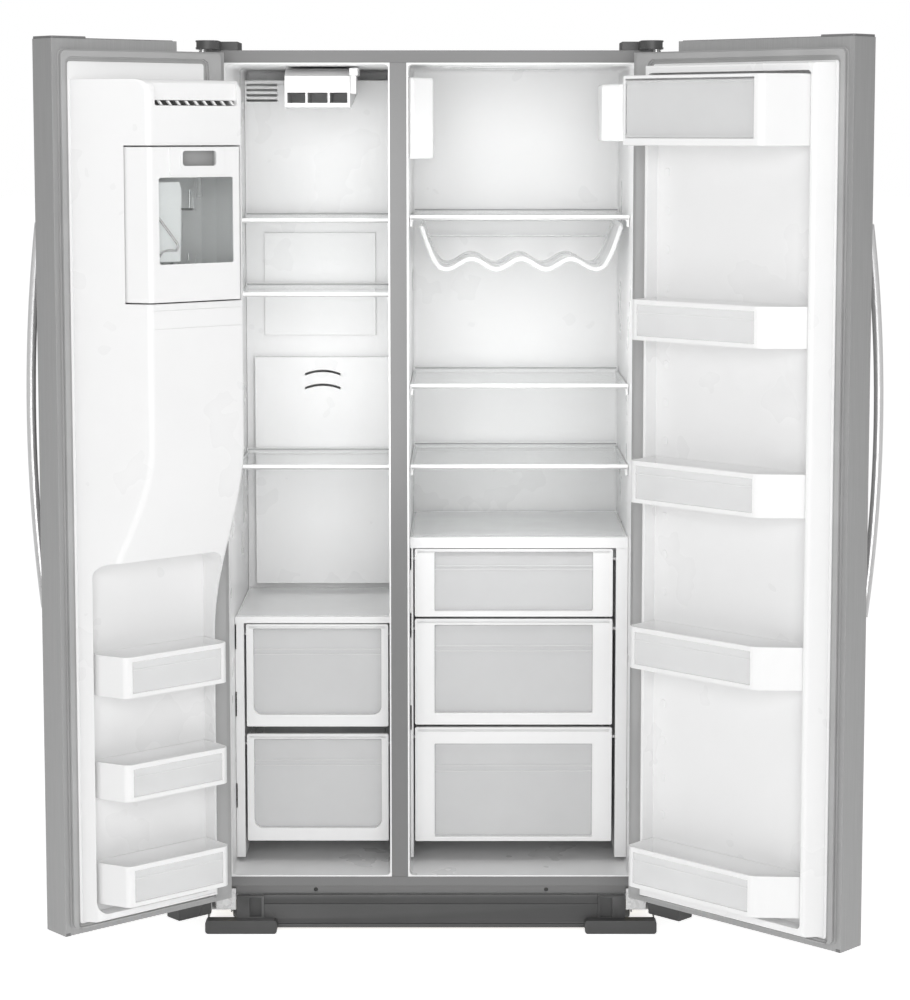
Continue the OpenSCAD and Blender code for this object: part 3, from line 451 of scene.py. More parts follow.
def grey(low, high, warm=0.0):
    """Two near neutral greys, a little warm or cold."""
    return [(v * (1 + warm), v, v * (1 - warm)) for v in (low, high)]


# In the finishes below, the edge amounts add a painted highlight on convex edges and a painted shade in hollows
def cabinet_paint():
    return surface("cabinet_paint", PAINTED, 700.0, *grey(0.145, 0.158), (0.34, 0.42), 0.05, painted_highlight=0.08)


def door_paint():
    return surface("door_paint", BRUSHED, 700.0, *grey(0.33, 0.38), (0.28, 0.40), 0.02, painted_highlight=0.15,
                   Metallic=0.35)


def galvanised():
    return surface("galvanised", SPANGLE, 55.0, *grey(0.42, 0.58, -0.01), (0.35, 0.5), 0.02,
                   Metallic=0.85)


def foam():
    return surface("foam", MOULDED, 240.0, (0.62, 0.52, 0.28), (0.72, 0.62, 0.36), (0.85, 0.95), 0.6)


def liner_white():
    return surface("liner_white", MOULDED, 700.0, *grey(0.825, 0.835), (0.26, 0.36), 0.03,
                   painted_shade=0.02, Specular_IOR_Level=0.45)


def white_plastic():
    return surface("white_plastic", MOULDED, 1000.0, *grey(0.825, 0.835), (0.28, 0.38), 0.02,
                   painted_shade=0.02)


def grille_plastic():
    return surface("grille_plastic", MOULDED, 600.0, *grey(0.045, 0.058), (0.4, 0.55), 0.05,
                   painted_highlight=0.1)


def machine_black():
    return surface("machine_black", PAINTED, 300.0, *grey(0.012, 0.02), (0.25, 0.4), 0.08, painted_highlight=0.1)


def machine_plastic():
    return surface("machine_plastic", MOULDED, 600.0, *grey(0.03, 0.045), (0.4, 0.55), 0.05)


def bare_aluminium():
    return surface("bare_aluminium", BRUSHED, 300.0, *grey(0.62, 0.72), (0.3, 0.42), 0.02,
                   Metallic=1.0)


def shelf_glass():
    return surface("shelf_glass", MOULDED, 40.0, (0.80, 0.86, 0.85), (0.84, 0.90, 0.89),
                   (0.02, 0.05), 0.002, painted_shade=0.0, Transmission_Weight=1.0, IOR=1.5, Alpha=0.35)


def clear_plastic():
    material = surface("clear_plastic", MOULDED, 120.0, *grey(0.90, 0.93, -0.003), (0.08, 0.16),
                       0.01, painted_shade=0.02)
    tree = material.node_tree
    facing = tree.nodes.new("ShaderNodeLayerWeight")
    facing.inputs["Blend"].default_value = 0.35
    thick = spread(tree, facing.outputs["Facing"], 0.0, 1.0, 0.36, 0.82)
    tree.links.new(thick, tree.nodes["Principled BSDF"].inputs["Alpha"])
    return material


def zinc_steel():
    return surface("zinc_steel", SPANGLE, 160.0, *grey(0.45, 0.6), (0.25, 0.4), 0.02, Metallic=1.0)


def roller_nylon():
    return surface("roller_nylon", MOULDED, 500.0, *grey(0.05, 0.07), (0.45, 0.6), 0.1, painted_highlight=0.2)


def seal_rubber():
    return surface("seal_rubber", MOULDED, 350.0, *grey(0.36, 0.41), (0.5, 0.62), 0.06, painted_shade=0.3)


def handle_steel():
    return surface("handle_steel", BRUSHED, 900.0, *grey(0.66, 0.76), (0.26, 0.36), 0.01,
                   Metallic=0.8)


def wire_chrome():
    return surface("wire_chrome", BRUSHED, 400.0, *grey(0.55, 0.62), (0.1, 0.2), 0.01, Metallic=1.0)


def dispenser_black():
    return surface("dispenser_black", MOULDED, 600.0, *grey(0.015, 0.022), (0.12, 0.25), 0.02)


MAKERS = (cabinet_paint, door_paint, galvanised, foam, liner_white, white_plastic, grille_plastic,
          machine_black, machine_plastic, bare_aluminium, shelf_glass, clear_plastic, zinc_steel,
          roller_nylon, seal_rubber, handle_steel, wire_chrome, dispenser_black)
FINISHES = {make.__name__: make() for make in MAKERS}


# ------------------------------------------------------------ making pieces


def show(name, shape, body, slot, bevel, segments, nodes):
    """Turns a finished shape, in metres, into a piece with soft edges."""
    mesh = bpy.data.meshes.new(name)
    for face in shape.faces:
        face.smooth = True
    for edge in shape.edges:
        edge.smooth = edge.calc_face_angle(0) < SHARP
    shape.to_mesh(mesh)
    shape.free()
    mesh.materials.append(FINISHES[slot])
    obj = bpy.data.objects.new(name, mesh)
    scene.collection.objects.link(obj)
    soft = obj.modifiers.new("soft_edges", "BEVEL")
    soft.width = bevel * MM
    soft.segments = segments
    soft.limit_method = "ANGLE"
    soft.angle_limit = SHARP
    even = obj.modifiers.new("even_normals", "WEIGHTED_NORMAL")
    even.keep_sharp = True
    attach(obj, body)
    if nodes:
        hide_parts(*nodes)
    return obj


def piece(name, shape, place, node, bevel=1.0, segments=2, slot=None, stands=True):
    """A piece in a local frame, on the body of a CAD node, which it stands for."""
    bmesh.ops.remove_doubles(shape, verts=shape.verts[:], dist=0.005)
    bmesh.ops.transform(shape, matrix=place, verts=shape.verts[:])
    if place.determinant() < 0:
        bmesh.ops.reverse_faces(shape, faces=shape.faces[:])
    return show(name, shape, BODY_OF[node], slot or SLOT_OF[node], bevel, segments,
                [node] if stands else [])


def refined(node, bevel=0.6, segments=2):
    """A merged copy of a CAD node with softened edges."""
    shape = bmesh.new()
    shape.from_mesh(frame["nodes"][node].data)
    bmesh.ops.remove_doubles(shape, verts=shape.verts[:], dist=0.02 * MM)
    return show(f"{node}_finished", shape, BODY_OF[node], SLOT_OF[node], bevel, segments, [node])


# ------------------------------------------------------------ cabinet

fz_lo, fz_hi = extent("freezer_liner", CABINET)
fr_lo, fr_hi = extent("fridge_liner", CABINET)


def compartment(node, name):
    """Vacuum-formed liner: a shell with round corners and a step over the machine room."""
    lo, hi = extent(node, CABINET)
    step_hi = extent(node, CABINET, lambda p: p.z < lo.z + 30)[1]
    step_lo = extent(node, CABINET, lambda p: p.y > step_hi.y + 20)[0]
    front, inset = 0.3, LINER
    side = [(front - 40, lo.z + inset), (step_hi.y - inset, lo.z + inset),
            (step_hi.y - inset, step_lo.z + inset), (hi.y - inset, step_lo.z + inset),
            (hi.y - inset, hi.z - inset), (front - 40, hi.z - inset)]
    shape = prism(side, "x", lo.x + inset, hi.x - inset)
    round_edges(shape, CORNER, 4, lambda e: max(v.co.y for v in e.verts) > 0)
    cut = shape.verts[:] + shape.edges[:] + shape.faces[:]
    bmesh.ops.bisect_plane(shape, geom=cut, dist=0.001, plane_co=(0, front, 0),
                           plane_no=(0, -1, 0), clear_outer=True)
    bmesh.ops.solidify(shape, geom=shape.faces[:], thickness=-inset * 0.9)
    mouth = rect(lo.x + inset, lo.z + inset, hi.x - inset, hi.z - inset)
    flange = ring(rect(lo.x, lo.z, hi.x, hi.z), mouth, "y", front - 0.2, front + 1.4, 0, CORNER, 4)
    piece(name, joined(shape, flange), CABINET, node, bevel=0.5)


def cabinet_wrap():
    """Folded sheet of the sides and top, with its front return."""
    lo, hi = extent("cabinet_shell", CABINET)
    skin, corner = 1.5, 4.0
    shape = prism(rect(lo.x, lo.z, hi.x, hi.z), "y", 0.0, hi.y, [0, 0, corner, corner])
    drop = [f for f in shape.faces if abs(f.normal.y) > 0.9 or f.normal.z < -0.9]
    bmesh.ops.delete(shape, geom=drop, context="FACES")
    bmesh.ops.solidify(shape, geom=shape.faces[:], thickness=skin)
    returns = [prism(rect(s * (hi.x - 0.6), fr_lo.z - 19, s * fr_hi.x, fr_hi.z), "y", 0, skin)
               for s in (-1, 1)]
    top = prism(rect(lo.x + 0.6, fr_hi.z, hi.x - 0.6, hi.z - 0.6), "y", 0.0, skin,
                [0, 0, corner, corner])
    piece("cabinet_wrap", joined(shape, top, *returns), CABINET, "cabinet_shell", bevel=0.5)


def base_screws():
    """Dark screws in the strip over the kick plate."""
    lo = extent("front_rails", CABINET)[0]
    z, y = lo.z + 9, 4.0
    heads = [rod("y", y - 1.6, y + 0.4, (x, z), 3.2, 4.6) for x in (-234, 234)]
    slots = [carved(head, block((x - 3, y - 2, z - 0.6), (x + 3, y - 0.9, z + 0.6)))
             for head, x in zip(heads, (-234, 234))]
    piece("base_screws", joined(*slots), CABINET, "front_rails", bevel=0.3, slot="machine_black",
          stands=False)


# ------------------------------------------------------------ shelves


def shelf(name, node, lo, hi):
    """Glass plate with a slim front profile, a rear profile and two side rails."""
    top = hi.z - 3
    glass = prism(rect(lo.x + 3, lo.y + 4, hi.x - 3, hi.y - 4), "z", top - 5, top - 1, 4)
    piece(f"{name}_glass", glass, CABINET, node, bevel=0.6, slot="shelf_glass")
    profile = [(lo.y, top - 7), (lo.y + 9, top - 7), (lo.y + 9, top), (lo.y, top)]
    front = prism(profile, "x", lo.x, hi.x, [2, 0.5, 1, 3])
    rear = prism(rect(hi.y - 10, top - 10, hi.y, hi.z), "x", lo.x, hi.x, 1.5)
    rails = [block((x, lo.y + 8, top - 13), (x + 7, hi.y - 9, top - 5.2))
             for x in (lo.x, hi.x - 7)]
    feet = [prism(rect(lo.y + 12, top - 24, lo.y + 30, top - 12), "x", x, x + 5, 3)
            for x in (lo.x, hi.x - 5)]
    piece(f"{name}_trim", joined(front, rear, *rails, *feet), CABINET, node, bevel=0.7,
          slot="white_plastic")
    # Painted shade: grey strips along the front and rear of the glass stand in for the glass edges seen dark
    lines = [prism(rect(y - 0.3, z - 1.3, y + 1.4, z + 1.3), "x", lo.x + 3, hi.x - 3, 0.5)
             for y, z in ((lo.y, top - 8), (hi.y - 11, top + 0.4))]
    piece(f"{name}_edge", joined(*lines), CABINET, node, bevel=0.2, slot="seal_rubber",
          stands=False)


def freezer_shelf_set():
    for k, (lo, hi) in enumerate(solids("freezer_shelves", CABINET)):
        shelf(f"freezer_shelf_{k + 1}", "freezer_shelves", lo, hi)


def fridge_shelf_set():
    for level in ("upper", "middle", "lower"):
        node = f"fridge_shelf_{level}"
        lo, hi = extent(node, CABINET)
        shelf(node, node, lo, hi)


def tube(name, points, radius, place, node, slot, stands=False):
    """A round wire along points."""
    curve = bpy.data.curves.new(name, "CURVE")
    curve.dimensions = "3D"
    curve.bevel_depth = radius * MM
    curve.bevel_resolution = 4
    curve.use_fill_caps = True
    line = curve.splines.new("POLY")
    line.points.add(len(points) - 1)
    for target, spot in zip(line.points, points):
        target.co = (*(place @ Vector(spot)), 1)
    curve.materials.append(FINISHES[slot])
    obj = bpy.data.objects.new(name, curve)
    scene.collection.objects.link(obj)
    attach(obj, BODY_OF[node])
    if stands:
        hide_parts(node)
    return obj


def bottle_rack():
    """Clear sheet in waves with a thick front edge, hung under the shelf on two side plates."""
    lo, hi = extent("bottle_rack", CABINET)
    troughs, amplitude, rise, steps, wall = 4, 10.5, 66.0, 96, 3.0
    middle = lo.z + 5 + amplitude

    def wave(i):
        u = i / steps
        lip = max(0.0, abs(2 * u - 1) - 0.8) / 0.2
        return middle + amplitude * math.cos(2 * math.pi * troughs * (u - 0.5)) + rise * lip * lip

    xs = [lo.x + 2 + i * (hi.x - lo.x - 4) / steps for i in range(steps + 1)]
    sheet = bmesh.new()
    verts = [sheet.verts.new((x, lo.y + 4, wave(i))) for i, x in enumerate(xs)]
    edges = [sheet.edges.new(pair) for pair in zip(verts, verts[1:])]
    made = bmesh.ops.extrude_edge_only(sheet, edges=edges)["geom"]
    far = [g for g in made if isinstance(g, bmesh.types.BMVert)]
    bmesh.ops.translate(sheet, verts=far, vec=(0, hi.y - lo.y - 8, 0))
    bmesh.ops.recalc_face_normals(sheet, faces=sheet.faces[:])
    bmesh.ops.solidify(sheet, geom=sheet.faces[:], thickness=wall)
    plates = [prism(rect(lo.y + 4, wave(0) - 4, hi.y - 4, hi.z), "x", x, x + 3, 5)
              for x in (lo.x, hi.x - 3)]
    piece("bottle_rack_sheet", joined(sheet, *plates), CABINET, "bottle_rack", bevel=0.5)
    for name, y, radius in (("front", lo.y + 4.5, 4.4), ("rear", hi.y - 4.5, 3.0)):
        tube(f"bottle_rack_{name}_edge", [(x, y, wave(i)) for i, x in enumerate(xs)], radius,
             CABINET, "bottle_rack", "clear_plastic")
    for k, z in enumerate((hi.z - 4, hi.z - 38)):
        tube(f"bottle_rack_bar_{k + 1}", [(lo.x + 4 + 10 * k, hi.y - 6, z), (hi.x - 4 - 10 * k, hi.y - 6, z)],
             2.4, CABINET, "bottle_rack", "handle_steel")


# ------------------------------------------------------------ drawers


def drawer(node, stile, corner):
    """White front with a window, a ribbed clear pane and a clear ribbed tub behind."""
    lo, hi = extent(node, CABINET)
    hole_lo, hole_hi = extent(node, CABINET, lambda p: lo.x + stile - 2 < p.x < hi.x - stile + 2
                              and p.y < lo.y + 9.5 and lo.z + 3 < p.z < hi.z - 3)
    x0, x1, z0, z1 = lo.x + stile, hi.x - stile, hole_lo.z, hole_hi.z
    front = ring(rect(lo.x, lo.z, hi.x, hi.z), rect(x0, z0, x1, z1), "y", lo.y, lo.y + 9.5,
                 3.0, [corner, corner, 2, 2])
    grip = prism([(lo.y - 0.1, hi.z - 9), (lo.y + 5, hi.z - 9), (lo.y + 5, hi.z - 3), (lo.y - 0.1, hi.z - 3)],
                 "x", lo.x + 6, hi.x - 6, 1.0)
    piece(f"{node}_front", carved(front, grip), CABINET, node, bevel=1.4, segments=3,
          slot="white_plastic")
    pane = prism(rect(x0 - 4, z0 - 4, x1 + 4, z1 + 4), "y", lo.y + 9.6, lo.y + 12)
    depth = z1 - z0
    ribs = [block((x0, lo.y + 7.6, z1 - depth * share), (x1, lo.y + 9.8, z1 - depth * share + 2.2))
            for share in (0.25, 0.31)]
    left, right = lo.x + 7, hi.x - 7
    well = tub([(left, lo.y + 12.1), (right, lo.y + 12.1), (right, hi.y), (left, hi.y)],
               lo.z + 4, hi.z - 16, 2.6, 3.0, 6.0)
    lips = [block((x, lo.y + 13, hi.z - 19.5), (x + 6.5, hi.y - 2, hi.z - 16.2))
            for x in (lo.x + 1, hi.x - 7.5)]
    count = 12
    pitch = (right - left - 30) / count
    posts = [block((left + 15 + k * pitch, hi.y - 6, lo.z + 8),
                   (left + 19 + k * pitch, hi.y - 2.4, lo.z + 8 + depth * 0.35))
             for k in range(count + 1)]
    floor_ribs = [block((left + 6, y, lo.z + 6.8), (right - 6, y + 3, lo.z + 9.4))
                  for y in (lo.y + 60, lo.y + 120, lo.y + 180, lo.y + 240)]
    piece(f"{node}_tub", joined(pane, well, *ribs, *lips, *posts, *floor_ribs), CABINET, node,
          bevel=0.7, slot="clear_plastic")


def drawer_frame(node, name):
    """Glass lid in white rails over two side walls with runners."""
    lo, hi = extent(node, CABINET)
    shape = bmesh.new()
    shape.from_mesh(frame["nodes"][node].data)
    bmesh.ops.remove_doubles(shape, verts=shape.verts[:], dist=0.02 * MM)
    bmesh.ops.transform(shape, matrix=CABINET.inverted(), verts=shape.verts[:])
    opening = block((lo.x + 24, lo.y + 16, hi.z - 9), (hi.x - 24, hi.y - 16, hi.z + 1))
    piece(f"{name}_rails", carved(shape, opening), CABINET, node, bevel=0.6)
    lid = prism(rect(lo.x + 4, lo.y + 8, hi.x - 4, hi.y - 8), "z", hi.z - 2.2, hi.z - 0.2, 5)
    piece(f"{name}_lid", lid, CABINET, node, bevel=0.5, slot="clear_plastic", stands=False)
    # Painted shadow: black strips along the left wall stand in for the slide rails' shadows in the gaps beside the
    # drawers
    stop = [block((x, lo.y + 2, z), (x + 3.4, lo.y + 5, z + 52))
            for x in (lo.x - 0.4,) for z in (hi.z - 68, hi.z - 208, hi.z - 400)]
    piece(f"{name}_shadow_strips", joined(*stop), CABINET, node, bevel=0.5, slot="machine_black",
          stands=False)


# ------------------------------------------------------------ doors


def gasket(node, place, name):
    """Magnetic seal: a flat foot, a folded bellows and a rounded sealing face."""
    lo, hi = extent(node, place)
    inner = extent(node, place, lambda p: lo.x + 25 < p.x < hi.x - 20
                   and lo.z + 8 < p.z < hi.z - 8)
    rows = ((0.0, 2.4, 0.0, 0.0), (2.2, 5.4, 7.0, 5.0), (5.2, hi.y - lo.y, 3.0, 8.0))
    rings = []
    for near, far, out, into in rows:
        outer = rect(lo.x + out, lo.z + out, hi.x - out, hi.z - out)
        hole = rect(inner[0].x - into, inner[0].z - into, inner[1].x + into, inner[1].z + into)
        rings.append(ring(outer, hole, "y", lo.y + near, lo.y + far, 12 - out, 6 + into))
    piece(name, joined(*rings), place, node, bevel=1.1, segments=3)


def swept_side(base, foot, low_b, deep_b, top):
    """Side outline of the inner panel, with a smooth swing from shallow to deep."""
    sweep = []
    for k in range(SWEEP_STEPS + 1):
        share = k / SWEEP_STEPS
        ease = (1 - math.cos(math.pi * share)) / 2
        sweep.append((low_b + (deep_b - low_b) * ease,
                      SWEEP_LOW + (SWEEP_HIGH - SWEEP_LOW) * share))
    return [(base + 2, foot), (low_b, foot), *sweep, (deep_b, top - 17), (deep_b - 14, top),
            (base + 2, top)]


def cut_slanted(shape, spot, normal):
    """Takes away what lies past a plane and closes the cut."""
    cut = shape.verts[:] + shape.edges[:] + shape.faces[:]
    found = bmesh.ops.bisect_plane(shape, geom=cut, dist=0.001, plane_co=spot, plane_no=normal,
                                   clear_outer=True)
    rim = [g for g in found["geom_cut"] if isinstance(g, bmesh.types.BMEdge)]
    bmesh.ops.contextual_create(shape, geom=rim)
    bmesh.ops.recalc_face_normals(shape, faces=shape.faces[:])


def intake_vanes(node, a0, a1, front):
    """Slanted bars at the foot of the ice maker's intake."""
    count, z = 9, INTAKE_LOW + 1
    pitch = (a1 - a0 - 32) / count
    vanes = []
    for k in range(count):
        a = a0 + 16 + k * pitch
        vanes.append(prism([(a, z), (a + 5, z), (a + 12, z + 8), (a + 7, z + 8)], "y",
                           front - 10, front - 5))
    piece("ice_maker_intake_vanes", joined(*vanes), FREEZER_DOOR, node, bevel=0.3, stands=False,
          slot="white_plastic")


def freezer_door_inner():
    """Formed inner panel: ice maker's head, bay of the ice bin, swept lower part and alcove."""
    node = "freezer_door_liner"
    lo, hi = extent(node, FREEZER_DOOR)
    a0, base, slant_a = lo.x + 5.5, lo.y, hi.x - 5.5
    head = extent(node, FREEZER_DOOR, lambda p: p.y > hi.y - 1)[1]
    foot = lo.z + 4.5
    shape = prism(swept_side(base, foot, base + 35.8, hi.y, head.z + 17), "x", a0, slant_a)
    normal = Vector((hi.y - base - 5.8, slant_a - head.x, 0))
    cut_slanted(shape, (head.x, hi.y, 0), normal)
    round_edges(shape, 9.0, 4, lambda e: min(v.co.y for v in e.verts) > base + 8
                and e.calc_face_angle(0) > 0.5)
    bay_lo, bay_hi = extent("ice_bin", FREEZER_DOOR)
    bay = block((a0 + 8, bay_lo.y - 3, bay_lo.z - 3), (bay_hi.x + 2, hi.y + 9, bay_hi.z + 3))
    room = block((a0 + 8, bay_lo.y - 3, bay_hi.z + 2), (head.x - 8, hi.y - 12, INTAKE_HIGH - 4))
    mouth = rect(a0 + INTAKE_INSET, INTAKE_LOW, head.x - INTAKE_INSET, INTAKE_HIGH)
    intake = prism(mouth, "y", hi.y - 13, hi.y + 1, 4)
    alcove = prism(rect(a0 + 8, foot + 14, slant_a - 15, ALCOVE_TOP), "y", base + 3.3, hi.y + 1,
                   [24, 24, 28, 28], 8)
    seams = [block((a0 - 1, hi.y - 1.4, z), (head.x + 60, hi.y + 1, z + 1.6))
             for z in (1286, 1252)]
    shape = carved(shape, bay, room, intake, alcove, *seams)
    plate = prism(rect(lo.x, lo.z, hi.x, hi.z), "y", base, base + 3, 5.5)
    back = block((a0 + 13, hi.y - 11, INTAKE_LOW + 10), (head.x - 13, hi.y - 7, INTAKE_HIGH + 1))
    piece("freezer_door_panel", joined(shape, plate, back), FREEZER_DOOR, node, bevel=1.6,
          segments=3)
    intake_vanes(node, a0, head.x, hi.y)


def fridge_door_inner():
    """Formed inner panel: a shallow tray with a raised rim and bosses for the bins."""
    node = "fridge_door_liner"
    lo, hi = extent(node, FRIDGE_DOOR)
    a0, a1, base = lo.x + 5.5, hi.x - 5.5, lo.y
    z0, z1 = lo.z + 4.5, hi.z - 4.5
    outer = [(a0, base + 2), (a1, base + 2), (a1, base + 4), (a1 - 24, hi.y), (a0, hi.y)]
    shape = prism(outer, "z", z0, z1)
    round_edges(shape, 5.0, 4, lambda e: min(v.co.y for v in e.verts) > base + 5)
    tray = prism(rect(a0 + 8, z0 + 14, a1 - 32, z1 - 14), "y", base + 3.3, hi.y + 1, 8)
    shape = carved(shape, tray)
    plate = prism(rect(lo.x, lo.z, hi.x, hi.z), "y", base, base + 3, 5.5)
    bosses = []
    z = z0 + 80
    while z < z1 - 90:
        bosses.append(prism(rect(a0 + 26, z, a0 + 38, z + 16), "y", base + 2.9, base + 4.6, 5))
        z += 74
    piece("fridge_door_panel", joined(shape, plate, *bosses), FRIDGE_DOOR, node, bevel=1.4,
          segments=3)


def door_bin(node, place, name):
    """Tray with a thick rim, a clear front with a rib, and a white cheek at its free end."""
    lo, hi = extent(node, place)
    bend = extent(node, place, lambda p: p.y > hi.y - 1)[1].x
    points = [(lo.x, lo.y), (hi.x, lo.y), (hi.x, lo.y + 22), (bend + 12, hi.y - 5),
              (bend, hi.y), (lo.x, hi.y)]
    corners = [1.5, 1.5, 6, 5, 5, 16]
    body = tub(points, lo.z, hi.z, 2.6, 2.6, corners)
    window = block((lo.x + 18, hi.y - 6, lo.z + 8), (bend - 3, hi.y + 1, hi.z - 9))
    rim = hoop(points, hi.z - 6, hi.z + 0.6, 5.5, corners)
    piece(f"{name}_tray", joined(carved(body, window), rim), place, node, bevel=0.8,
          segments=3, slot="white_plastic")
    pane = prism(rect(lo.x + 15, lo.z + 6, bend - 1, hi.z - 5), "y", hi.y - 3.4, hi.y - 1.6, 2)
    rib = block((lo.x + 18, hi.y - 2, hi.z - 26), (bend - 4, hi.y - 0.6, hi.z - 23.6))
    piece(f"{name}_pane", joined(pane, rib), place, node, bevel=0.5, slot="clear_plastic")


def dairy_compartment():
    """White box for butter with a wide mouth behind its clear flap."""
    lo, hi = extent("dairy_box", FRIDGE_DOOR)
    bend = extent("dairy_box", FRIDGE_DOOR, lambda p: p.y > hi.y - 1)[1].x
    points = [(lo.x, lo.y), (hi.x, lo.y), (hi.x, lo.y + 22), (bend, hi.y), (lo.x, hi.y)]
    shape = prism(points, "z", lo.z, hi.z, [1, 1, 6, 10, 6])
    round_edges(shape, 3.0, 3, lambda e: min(v.co.y for v in e.verts) > lo.y + 1
                and abs(e.verts[0].co.z - e.verts[1].co.z) < 1)
    inside = block((lo.x + 4, lo.y + 4, lo.z + 4), (bend - 8, hi.y - 4, hi.z - 4))
    mouth = block((lo.x + 8, lo.y + 10, lo.z + 14), (bend - 16, hi.y + 1, hi.z - 6))
    piece("dairy_box_body", carved(shape, inside, mouth), FRIDGE_DOOR, "dairy_box", bevel=1.2,
          segments=3)


def ice_drawer():
    """Ice bin: rounded tub with a latch plate, a finger grip and a framed window."""
    node = "ice_bin"
    lo, hi = extent(node, FREEZER_DOOR)
    front = extent(node, FREEZER_DOOR, lambda p: p.y > hi.y - 0.5)[1].x
    side_b = extent(node, FREEZER_DOOR, lambda p: p.x > hi.x - 0.5)[1].y
    points = [(lo.x, lo.y), (hi.x, lo.y), (hi.x, side_b), (front, hi.y), (lo.x, hi.y)]
    body = tub(points, lo.z, hi.z, 3, 3, [2, 2, 3, 8, 5])
    grip = prism(rect(*GRIP), "y", hi.y - 6, hi.y + 8, 6)
    window = prism(rect(*WINDOW), "y", hi.y - 6, hi.y + 1, 4)
    plate = prism(rect(92, 1536, 214, 1588), "y", hi.y - 1, hi.y + 3, 2)
    lip = ring(rect(106, 1548, 192, 1586), rect(111, 1553, 187, 1581), "y", hi.y + 2, hi.y + 4.4, 8, 6)
    grip_again = prism(rect(*GRIP), "y", hi.y - 6, hi.y + 8, 6)
    shapes = joined(carved(body, grip, window), carved(plate, grip_again), lip)
    piece("ice_bin_body", shapes, FREEZER_DOOR, node, bevel=1.0, segments=3)
    cup = tub([(106, -1586), (192, -1586), (192, -1548), (106, -1548)], 0, 14, 2, 2, 5)
    bmesh.ops.rotate(cup, verts=cup.verts[:], cent=(0, 0, 0),
                     matrix=Matrix.Rotation(math.radians(-90), 3, "X"))
    moved(cup, (0, hi.y - 17, 0))
    piece("ice_bin_grip_cup", cup, FREEZER_DOOR, node, bevel=0.8, slot="seal_rubber", stands=False)
    pane = prism(rect(67, 1369, 241, 1535), "y", hi.y - 5.4, hi.y - 3.2, 4)
    piece("ice_bin_pane", pane, FREEZER_DOOR, node, bevel=0.4, slot="shelf_glass", stands=False)
    panel = prism([(186, 1376), (236, 1376), (236, 1524), (186, 1524), (186, 1518), (182, 1512)], "y",
                  hi.y - 14, hi.y - 7, 1.5)
    piece("ice_bin_inner_panel", panel, FREEZER_DOOR, node, bevel=1.0, slot="white_plastic",
          stands=False)
    wire = [(236, hi.y - 5, 1458), (212, hi.y - 5, 1430), (196, hi.y - 5, 1411), (193, hi.y - 5, 1404),
            (197, hi.y - 5, 1397), (216, hi.y - 5, 1398), (228, hi.y - 5, 1396), (236, hi.y - 5, 1386)]
    tube("ice_level_wire", wire, 2.2, FREEZER_DOOR, node, "wire_chrome")
    spout = [rod("z", 1498, 1534, (140, hi.y - 12), 3.6), rod("z", 1494, 1502, (140, hi.y - 12), 5.4)]
    piece("ice_bin_fill_tube", joined(*spout), FREEZER_DOOR, node, bevel=0.8, slot="seal_rubber",
          stands=False)


def door_fittings(place, node, name):
    """End cap and rail on a door's top, and the dark stop bracket under its hinge end."""
    lo, hi = extent(node, place)
    cap = prism(rect(hi.x - 78, lo.y + 4, hi.x - 1, hi.y - 1), "z", hi.z - 0.5, hi.z + 4.6, 6)
    rail = prism(rect(100, lo.y + 14, hi.x - 70, hi.y - 6), "z", hi.z - 0.5, hi.z + 1.6, 2)
    piece(f"{name}_top_cap", joined(cap, rail), place, node, bevel=1.6, slot="cabinet_paint",
          stands=False)
    stop = prism([(24, 66), (104, 66), (104, lo.z + 0.3), (24, lo.z + 0.3)], "y", -6, 34, [3, 3, 0, 0])
    notch = block((40, -12, 60), (72, 12, 80))
    bolts = [rod("z", 62, 68, (a, 18), 5.2, segments=6) for a in (50, 86)]
    piece(f"{name}_stop", joined(carved(stop, notch), *bolts), place, node, bevel=1.0,
          slot="machine_black", stands=False)
    corner = prism(rect(hi.x - 12, hi.y - 9, hi.x - 0.4, hi.y + 0.5), "z", lo.z - 0.4, lo.z + 6, 2)
    piece(f"{name}_foot_cap", corner, place, node, bevel=0.8, slot="cabinet_paint", stands=False)


REFINED = {
    "front_rails": 0.5, "back_panel": 0.4, "base_chassis": 0.6, "base_grille": 0.8,
    "compressor": 1.5, "condenser": 0.3, "evaporator": 0.3, "evaporator_cover": 1.0,
    "air_duct": 2.5, "control_covers": 4.0, "door_hinges": 0.8, "hinge_covers": 1.0,
    "rear_inlets": 0.8, "front_rollers": 0.8, "rear_rollers": 0.8, "leg_left": 0.8,
    "leg_right": 0.8, "condenser_fan": 0.4, "evaporator_fan": 0.4,
    "freezer_door_shell": 0.6, "fridge_door_shell": 0.6, "freezer_door_handle": 0.8,
    "fridge_door_handle": 0.8, "ice_maker": 0.8, "ice_auger": 0.4,
    "dispenser_housing": 0.9, "dispenser_paddle": 0.8, "drip_tray": 0.7, "dairy_flap": 0.8,
}


def build_cabinet():
    cabinet_wrap()
    compartment("freezer_liner", "freezer_liner_shell")
    compartment("fridge_liner", "fridge_liner_shell")
    freezer_shelf_set()
    fridge_shelf_set()
    bottle_rack()
    drawer_frame("freezer_drawer_frame", "freezer_frame")
    drawer_frame("crisper_frame", "crisper_frame")
    for node in ("freezer_drawer_upper", "freezer_drawer_lower"):
        drawer(node, 14, 18)
    for node in ("crisper_upper", "crisper_middle", "crisper_lower"):
        drawer(node, 40, 3)
    base_screws()


